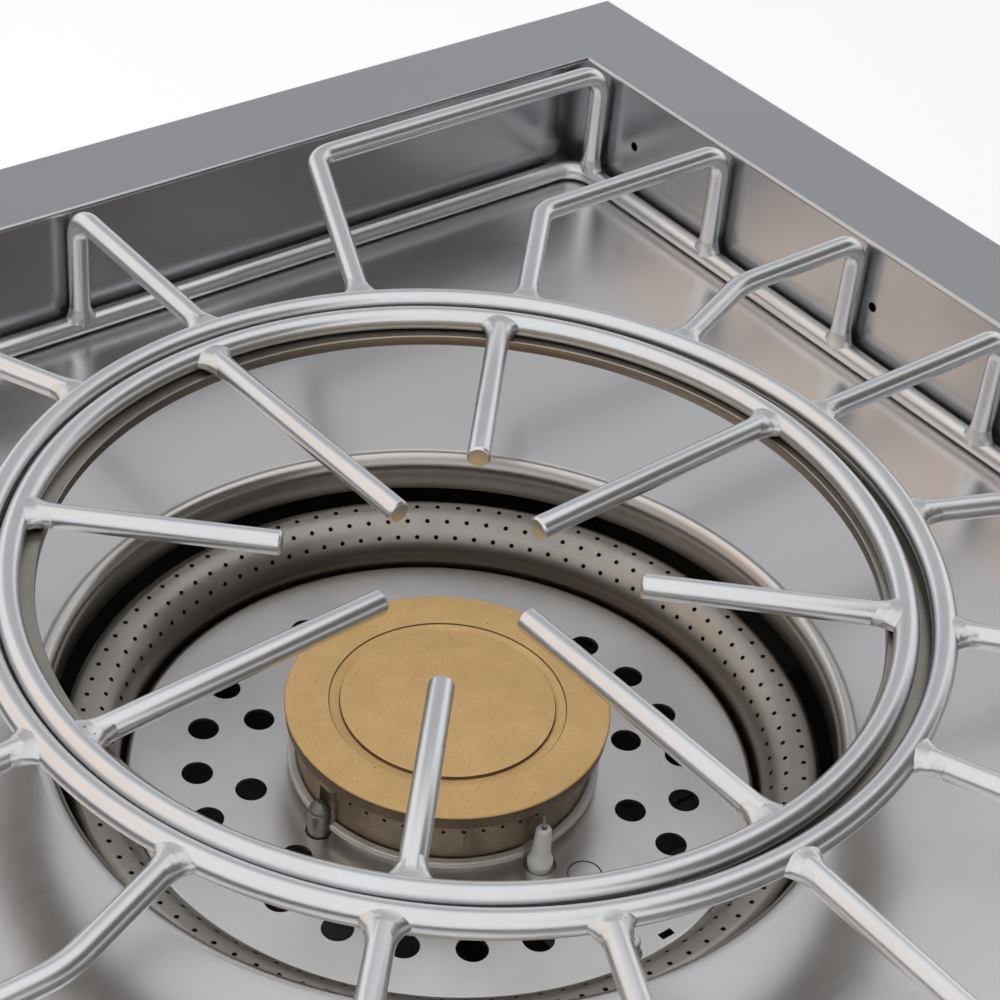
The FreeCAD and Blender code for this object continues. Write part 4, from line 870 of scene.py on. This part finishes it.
# Ring burner's arched cover with its three rows of ports
ringBurner = {
    "inner": 107.0,
    "outer": 122.5,
    "crest": -69.0,
    "dip": -79.5,
    "edge": 3.5,
    "seam": -88.0,
    "hem": 2.0,
    "hemRise": 1.2,
    "hemBend": 1.0,
    "skin": 1.5,
    "sides": 196,
    "archCentre": (120.58, -82.91),
    "archSteps": 8,
    # radius, height and first angle of each row
    "ports": [(118.0, -69.8, -0.25), (113.4, -72.0, 1.65), (110.0, -75.6, -0.05)],
    "portRadius": 0.85,
    "portCount": 98,
    "portDepth": 6,
    "portSides": 10,
}


def buildRingBurner():
    inner, outer, crest, dip, edge = (ringBurner[key] for key in ("inner", "outer", "crest", "dip", "edge"))
    points = [(inner, ringBurner["seam"]), (inner, dip)]
    centre = Vector(ringBurner["archCentre"])
    first = Vector((inner, dip)) - centre
    last = Vector((outer - edge, crest)) - centre
    steps = ringBurner["archSteps"]
    for step in range(1, steps):
        share = step / steps
        ray = (first * (1 - share) + last * share).normalized()
        ray *= first.length * (1 - share) + last.length * share
        points.append(tuple(centre + ray))
    hemTop = ringBurner["seam"] + ringBurner["hemRise"]
    points += [(outer - edge, crest), (outer, crest), (outer, hemTop), (outer + ringBurner["hem"], hemTop)]
    # the edge's bend starts a hair past the arch's last point
    bends = [0] * (steps + 1) + [edge - 0.01, ringBurner["hemBend"]]
    cover = turnedPiece("ringBurnerCover", points, bends, ringBurner["sides"], wall=ringBurner["skin"])
    rows = []
    for radius, height, phase in ringBurner["ports"]:
        out = (Vector((radius, height)) - centre).normalized()
        row = cutterRow("portRow", ringBurner["portRadius"], (radius, 0, height), (out.x, 0, out.y),
                        ringBurner["portDepth"], ringBurner["portSides"], ringBurner["portCount"])
        rows.append(turnedBy(row, phase))
    cutAway(cover, joinInto("ports", rows))
    return cover


settle(buildRingBurner(), "cabinet", "ring_burner_cover", 30)
print("ring burner ready")


# Perforated burner plate
plate = {
    "top": -84.0,
    "radius": 104.0,
    "rim": 5.0,
    "fold": 2.0,
    "bore": 45.0,
    "gauge": 1.2,
    "edge": 0.16,
    "sides": 160,
    "hole": 5.15,
    "holeSides": 40,
    "cutDepth": 6,
    # circle on the plate, first angle, count and step of each row of holes
    "rows": [(80.5, 0.0, 24, 15.0), (64.0, -52.5, 11, 30.0)],
    # circle on the plate, angle, hole radius
    "fittings": [(53.2, -91.0, 5.3), (97.5, -90.5, 4.1), (51.3, -177.0, 4.3)],
    # circle on the plate, angle, length, width
    "slot": (99.0, -82.0, 5.0, 2.5),
    # the blank that is left: its circle and angle, its scored line's two radii and half its depth
    "knockOut": (65.0, -82.5, 5.2, 5.75, 1),
}


def buildPlate():
    top, radius, depth, sides = (plate[key] for key in ("top", "radius", "cutDepth", "holeSides"))
    upright = (0, 0, 1)
    corners = [(plate["bore"], top), (radius, top), (radius, top - plate["rim"])]
    made = turnedPiece("burnerPlate", corners, [plate["fold"]], plate["sides"], wall=plate["gauge"])
    cutters = []
    for circle, first, count, step in plate["rows"]:
        row = cutterRow("holeRow", plate["hole"], (circle, 0, top), upright, depth, sides, count, step)
        cutters.append(turnedBy(row, first))
    for circle, angle, hole in plate["fittings"]:
        cutters.append(cutterRow("fittingHole", hole, onCircle(circle, angle, top), upright, depth, sides))
    circle, angle, length, width = plate["slot"]
    cutters.append(block("slotCutter", onCircle(circle, angle, top), (length, width, depth)))
    cutAway(made, joinInto("plateCutters", cutters))
    # the blank is only scored round; the scored groove's walls take the dark pin finish as painted shade,
    # so its edge shows as a line
    circle, angle, inner, outer, half = plate["knockOut"]
    line = [(inner, half), (outer, half), (outer, -half), (inner, -half), (inner, half)]
    score = movedBy(turnedPiece("score", line, (), sides), *onCircle(circle, angle, top))
    score.data.materials.append(finish["pinFinish"])
    made.data.materials.append(finish["plateFinish"])
    cutAway(made, score, material_mode="TRANSFER")
    breakEdges(made, plate["edge"], 45)
    return made


settle(buildPlate(), "cabinet", "burner_plate", 30, flatFaces=True)

# Centre burner: cap with its groove, fluted drum with flame ports, grey seat with a notched lip
cap = {
    "radius": 53.0,
    "top": -55.6,
    "height": 5.4,
    "taper": 0.6,
    "edge": 0.8,
    "grooveOuter": 38.7,
    "grooveInner": 34.9,
    "grooveDepth": 1.2,
    "grooveShelf": 0.45,
    "grooveDraft": 0.3,
    "spigot": 44.0,
    "spigotDepth": 3.0,
    "spigotWall": 4.0,
    "dome": 2,
    "sides": 160,
}
drum = {
    "radius": 48.3,
    "wall": 4.0,
    "floor": -78.5,
    "gap": 0.3,
    "edge": 0.2,
    "sides": 144,
    "ports": 48,
    "portRadius": 0.65,
    "portDrop": 5.2,
    "portSides": 12,
}
seat = {
    "bore": 45.0,
    "neck": 47.0,
    "room": 48.8,
    "lip": 51.3,
    "lipTop": -77.5,
    "lipHeight": 2.3,
    "lipBend": 0.6,
    "edge": 0.25,
    "sides": 160,
}
# circle on the plate, angle, radius, and how far up its flute runs in the drum
notches = [(53.2, -91.0, 5.9, -68.5), (51.3, -177.0, 5.2, -68.5)]
notchSides = 48


def notchCutters(low, high=None):
    cutters = []
    for circle, angle, radius, fluteTop in notches:
        top = fluteTop if high is None else high
        place = onCircle(circle, angle, (low + top) / 2)
        cutters.append(cutterRow("notchCutter", radius, place, (0, 0, 1), top - low, notchSides))
    return joinInto("notchCutters", cutters)


def buildCap():
    top, under = cap["top"], cap["top"] - cap["height"]
    outer, inner, draft = cap["grooveOuter"], cap["grooveInner"], cap["grooveDraft"]
    shelf, groove = top - cap["grooveShelf"], top - cap["grooveDepth"]
    brim, spigot = cap["radius"] - cap["taper"], cap["spigot"]
    hollow, low, roof = spigot - cap["spigotWall"], under - cap["spigotDepth"], under + cap["dome"]
    corners = [(0, top), (inner, top), (inner + draft, groove), (outer - draft, shelf), (outer, top),
               (cap["radius"], top), (brim, under), (spigot, under), (spigot, low), (hollow, low),
               (hollow - cap["dome"], roof), (0, roof)]
    bends = [0.15, 0.25, 0.1, 0.12, cap["edge"], 0.5, 0.3, 0.3, 0.3, 0.5]
    made = turnedPiece("brassCap", corners, bends, cap["sides"])
    made.data.materials.append(finish["brassFinish"])
    margin = 0.1

    def onRim(radius, height, normal):
        return normal.z < 0.5 and radius > brim - 0.5 or height < under + margin

    def inGroove(radius, height, normal):
        innerSide = inner - margin < radius < inner + draft + margin
        outerSide = outer - draft - margin < radius < outer + margin
        return normal.z < 0.88 and (innerSide or outerSide)

    # the rim is darker, and the groove's steep side walls carry painted shade
    paintFaces(made, finish["capRimFinish"], onRim)
    paintFaces(made, finish["grooveShadeFinish"], inGroove)
    return made


def buildDrum():
    radius, low = drum["radius"], drum["floor"]
    top = cap["top"] - cap["height"] - drum["gap"]
    inner = radius - drum["wall"]
    middle = (top + low) / 2
    corners = [(inner, middle), (inner, top), (radius, top), (radius, low), (inner, low), (inner, middle)]
    made = turnedPiece("burnerDrum", corners, (), drum["sides"])
    place = (radius, 0, top - drum["portDrop"])
    ports = cutterRow("drumPorts", drum["portRadius"], place, (1, 0, 0), 3 * drum["wall"],
                      drum["portSides"], drum["ports"])
    cutAway(made, joinInto("drumCutters", [ports, notchCutters(low - 1)]))
    breakEdges(made, drum["edge"], 50)
    return made


def buildSeat():
    bore, neck, room, lip = seat["bore"], seat["neck"], seat["room"], seat["lip"]
    floor, foot, top = drum["floor"], plate["top"], seat["lipTop"]
    base = top - seat["lipHeight"]
    middle = (floor + foot) / 2
    corners = [(bore, middle), (bore, floor), (room, floor), (room, top), (lip, top), (lip, base),
               (neck, base), (neck, foot), (bore, foot), (bore, middle)]
    made = turnedPiece("burnerSeat", corners, [0, 0, 0.2, seat["lipBend"], seat["lipBend"]], seat["sides"])
    cutAway(made, notchCutters(foot - 1, top + 1))
    breakEdges(made, seat["edge"], 50)
    return made


settle(buildCap(), "cap", "brass_cap", 25)
settle(buildDrum(), "cabinet", "burner_drum")
settle(buildSeat(), "cabinet", "burner_seat", 40)

# Ceramic electrodes: a bottle that fits the plate, its neck and its bore round the wire
electrodes = {
    # node: circle on the plate, angle, bulb, waist, neck, top, heights of bulb and waist
    "centre_electrode": (53.2, -91.0, 4.4, 3.1, 2.5, -67.7, -81.9, -79.0),
    "ring_electrode": (97.5, -90.5, 3.2, 3.1, 3.0, -77.5, -83.0, -80.4),
}
ceramic = {
    "tail": -101.2,
    "collar": 1.8,
    "collarTop": -85.2,
    "collarHigh": 3.2,
    "foot": 0.7,
    "bore": 0.95,
    "boreDepth": 4.0,
    "bends": [0.3, 0.2, 0.3, 0.3, 0.2, 4.5, 5.0, 1.2, 0.2],
    "sides": 48,
}
sparkWire = {"start": -101.2, "reach": 5.0, "hook": 0.9, "bend": 2.0, "radius": 0.55, "edge": 0.15,
             "sides": 16}


def buildElectrode(name, node):
    circle, angle, bulb, waist, neck, top, bulbZ, waistZ = electrodes[node]
    foot, wide, tail = bulb - ceramic["foot"], bulb + ceramic["collar"], ceramic["tail"]
    collarTop = ceramic["collarTop"]
    collarLow = collarTop - ceramic["collarHigh"]
    bore, boreLow = ceramic["bore"], top - ceramic["boreDepth"]
    corners = [(0, tail), (foot, tail), (foot, collarLow), (wide, collarLow), (wide, collarTop),
               (foot, collarTop), (bulb, bulbZ), (waist, waistZ), (neck, top), (bore, top), (bore, boreLow),
               (0, boreLow)]
    made = turnedPiece(name, corners, ceramic["bends"], ceramic["sides"])
    made.data.materials.append(finish["ceramicFinish"])

    def onClip(radius, height, normal):
        return collarLow - 0.1 < height < collarTop + 0.1

    # a dark steel clip holds it under the plate
    paintFaces(made, finish["pinFinish"], onClip)
    return movedBy(made, *onCircle(circle, angle))


def buildSparkWires():
    # Each wire leaves its ceramic and leans a little towards the flame
    reach, hook = sparkWire["reach"], sparkWire["hook"]
    wires = []
    for circle, angle, bulb, waist, neck, top, bulbZ, waistZ in electrodes.values():
        corners = [onCircle(circle, angle, sparkWire["start"]), onCircle(circle, angle, top + reach / 2),
                   onCircle(circle - hook, angle, top + reach)]
        wires.append(bentBar("wire", corners, [sparkWire["bend"]], sparkWire["radius"], sparkWire["sides"]))
    made = joinInto("sparkWires", wires)
    breakEdges(made, sparkWire["edge"], 50)
    return made


for name, node in (("centreElectrode", "centre_electrode"), ("ringElectrode", "ring_electrode")):
    settle(buildElectrode(name, node), "cabinet", node, 40)
settle(buildSparkWires(), "cabinet", "electrode_wires", 40)

# Flame sensor: a blunt pin with a turned line below its nose
sensor = {
    "circle": 51.3,
    "angle": -177.0,
    "radius": 3.6,
    "collar": 5.2,
    "tail": -101.2,
    "line": -74.6,
    "lineDepth": 0.35,
    "tip": -70.9,
    "tipFlat": 1.3,
    "bends": [0.3, 0.2, 0.3, 0.3, 0.2, 0.1, 0, 0, 0.15, 0.5, 0.4],
    "sides": 48,
}


def buildSensor():
    radius, collar, line = sensor["radius"], sensor["collar"], sensor["line"]
    tip, tail = sensor["tip"], sensor["tail"]
    collarTop = ceramic["collarTop"]
    collarLow = collarTop - radius
    slim = radius - sensor["lineDepth"]
    corners = [(0, tail), (radius, tail), (radius, collarLow), (collar, collarLow), (collar, collarTop),
               (radius, collarTop), (radius, line - 0.5), (slim, line - 0.3), (slim, line),
               (radius, line + 0.1), (slim, line + 0.9), (sensor["tipFlat"], tip - 0.2), (0, tip)]
    made = turnedPiece("sensorPin", corners, sensor["bends"], sensor["sides"])
    return movedBy(made, *onCircle(sensor["circle"], sensor["angle"]))


settle(buildSensor(), "cabinet", "sensor_pin", 40)
print("centre burner ready")


# Control knobs and their bezels, turned round the stem and then laid to face the front
controls = {"spacing": 160.0, "height": -138.0, "front": -350.0}
knob = {
    "radius": 24.0,
    "skirt": 29.0,
    "back": 5.5,
    "step": 11.5,
    "shoulder": 14.0,
    "front": 42.0,
    "wall": 2.5,
    "stem": 4.1,
    "hub": 8.0,
    "hubFloor": 39.0,
    "bends": [1.8, 0.8, 1.8, 0.5, 0.4],
    "sides": 96,
    "edge": 0.45,
    "flutes": 12,
    "fluteRadius": 8.0,
    "fluteDepth": 1.6,
    "fluteLength": 20.0,
    "fluteSides": 48,
    # inner end, outer end, width, depth and the inlay's edge
    "mark": (8.0, 20.8, 2.5, 0.8, 0.1),
}
bezel = {
    "bore": 4.6,
    "outer": 35.0,
    "top": 33.8,
    "inner": 31.5,
    "floor": 1.5,
    "depth": 8.0,
    "bends": [0, 0.3, 1.1, 0.8, 0.8],
    "sides": 120,
}


def faceFront(piece, side):
    turnedBy(piece, 90, "X")
    return movedBy(piece, controls["spacing"] / 2 * side, controls["front"], controls["height"])


def buildKnob(name, side):
    radius, skirt, wall, step = knob["radius"], knob["skirt"], knob["wall"], knob["step"]
    front, back, hub, stem, floor = (knob[key] for key in ("front", "back", "hub", "stem", "hubFloor"))
    roof = floor - wall
    corners = [(0, front), (radius, front), (radius, knob["shoulder"]), (skirt, step), (skirt, back),
               (skirt - wall, back), (skirt - wall, step - wall), (radius - wall, step),
               (radius - wall, roof), (hub, roof), (hub, back), (stem, back), (stem, floor), (0, floor)]
    made = turnedPiece("knob", corners, knob["bends"], knob["sides"])
    away = radius + knob["fluteRadius"] - knob["fluteDepth"]
    flutes = cutterRow("flutes", knob["fluteRadius"], (away, 0, front), (0, 0, 1), 2 * knob["fluteLength"],
                       knob["fluteSides"], knob["flutes"])
    near, far, width, depth, edge = knob["mark"]
    middle, length = (near + far) / 2, far - near
    mark = block("markCutter", (0, middle, front), (width, length, 2 * depth))
    cutAway(made, joinInto("knobCutters", [flutes, mark]))
    breakEdges(made, knob["edge"], 40, 3)
    made.data.materials.append(finish["knobFinish"])
    # a dark inlay fills the lower part of the mark
    inlay = block("markInlay", (0, middle, front - depth * 0.75), (width - edge, length - edge, depth / 2))
    breakEdges(inlay, edge, 40)
    inlay.data.materials.append(finish["markFinish"])
    return faceFront(joinInto(name, [made, inlay]), side)


def buildBezel(name, side):
    bore, outer, inner, floor, depth = (bezel[key] for key in ("bore", "outer", "inner", "floor", "depth"))
    corners = [(bore, floor / 2), (bore, 0), (outer, 0), (bezel["top"], depth), (inner, depth),
               (inner, floor), (bore, floor), (bore, floor / 2)]
    return faceFront(turnedPiece(name, corners, bezel["bends"], bezel["sides"]), side)


for sideName, side in (("left", -1), ("right", 1)):
    made = buildKnob(f"{sideName}Knob", side)
    settle(made, f"{sideName}_control", f"{sideName}_knob", 40, flatFaces=True)
    made = buildBezel(f"{sideName}Bezel", side)
    settle(made, "cabinet", f"{sideName}_bezel", 40)
print("knobs ready")
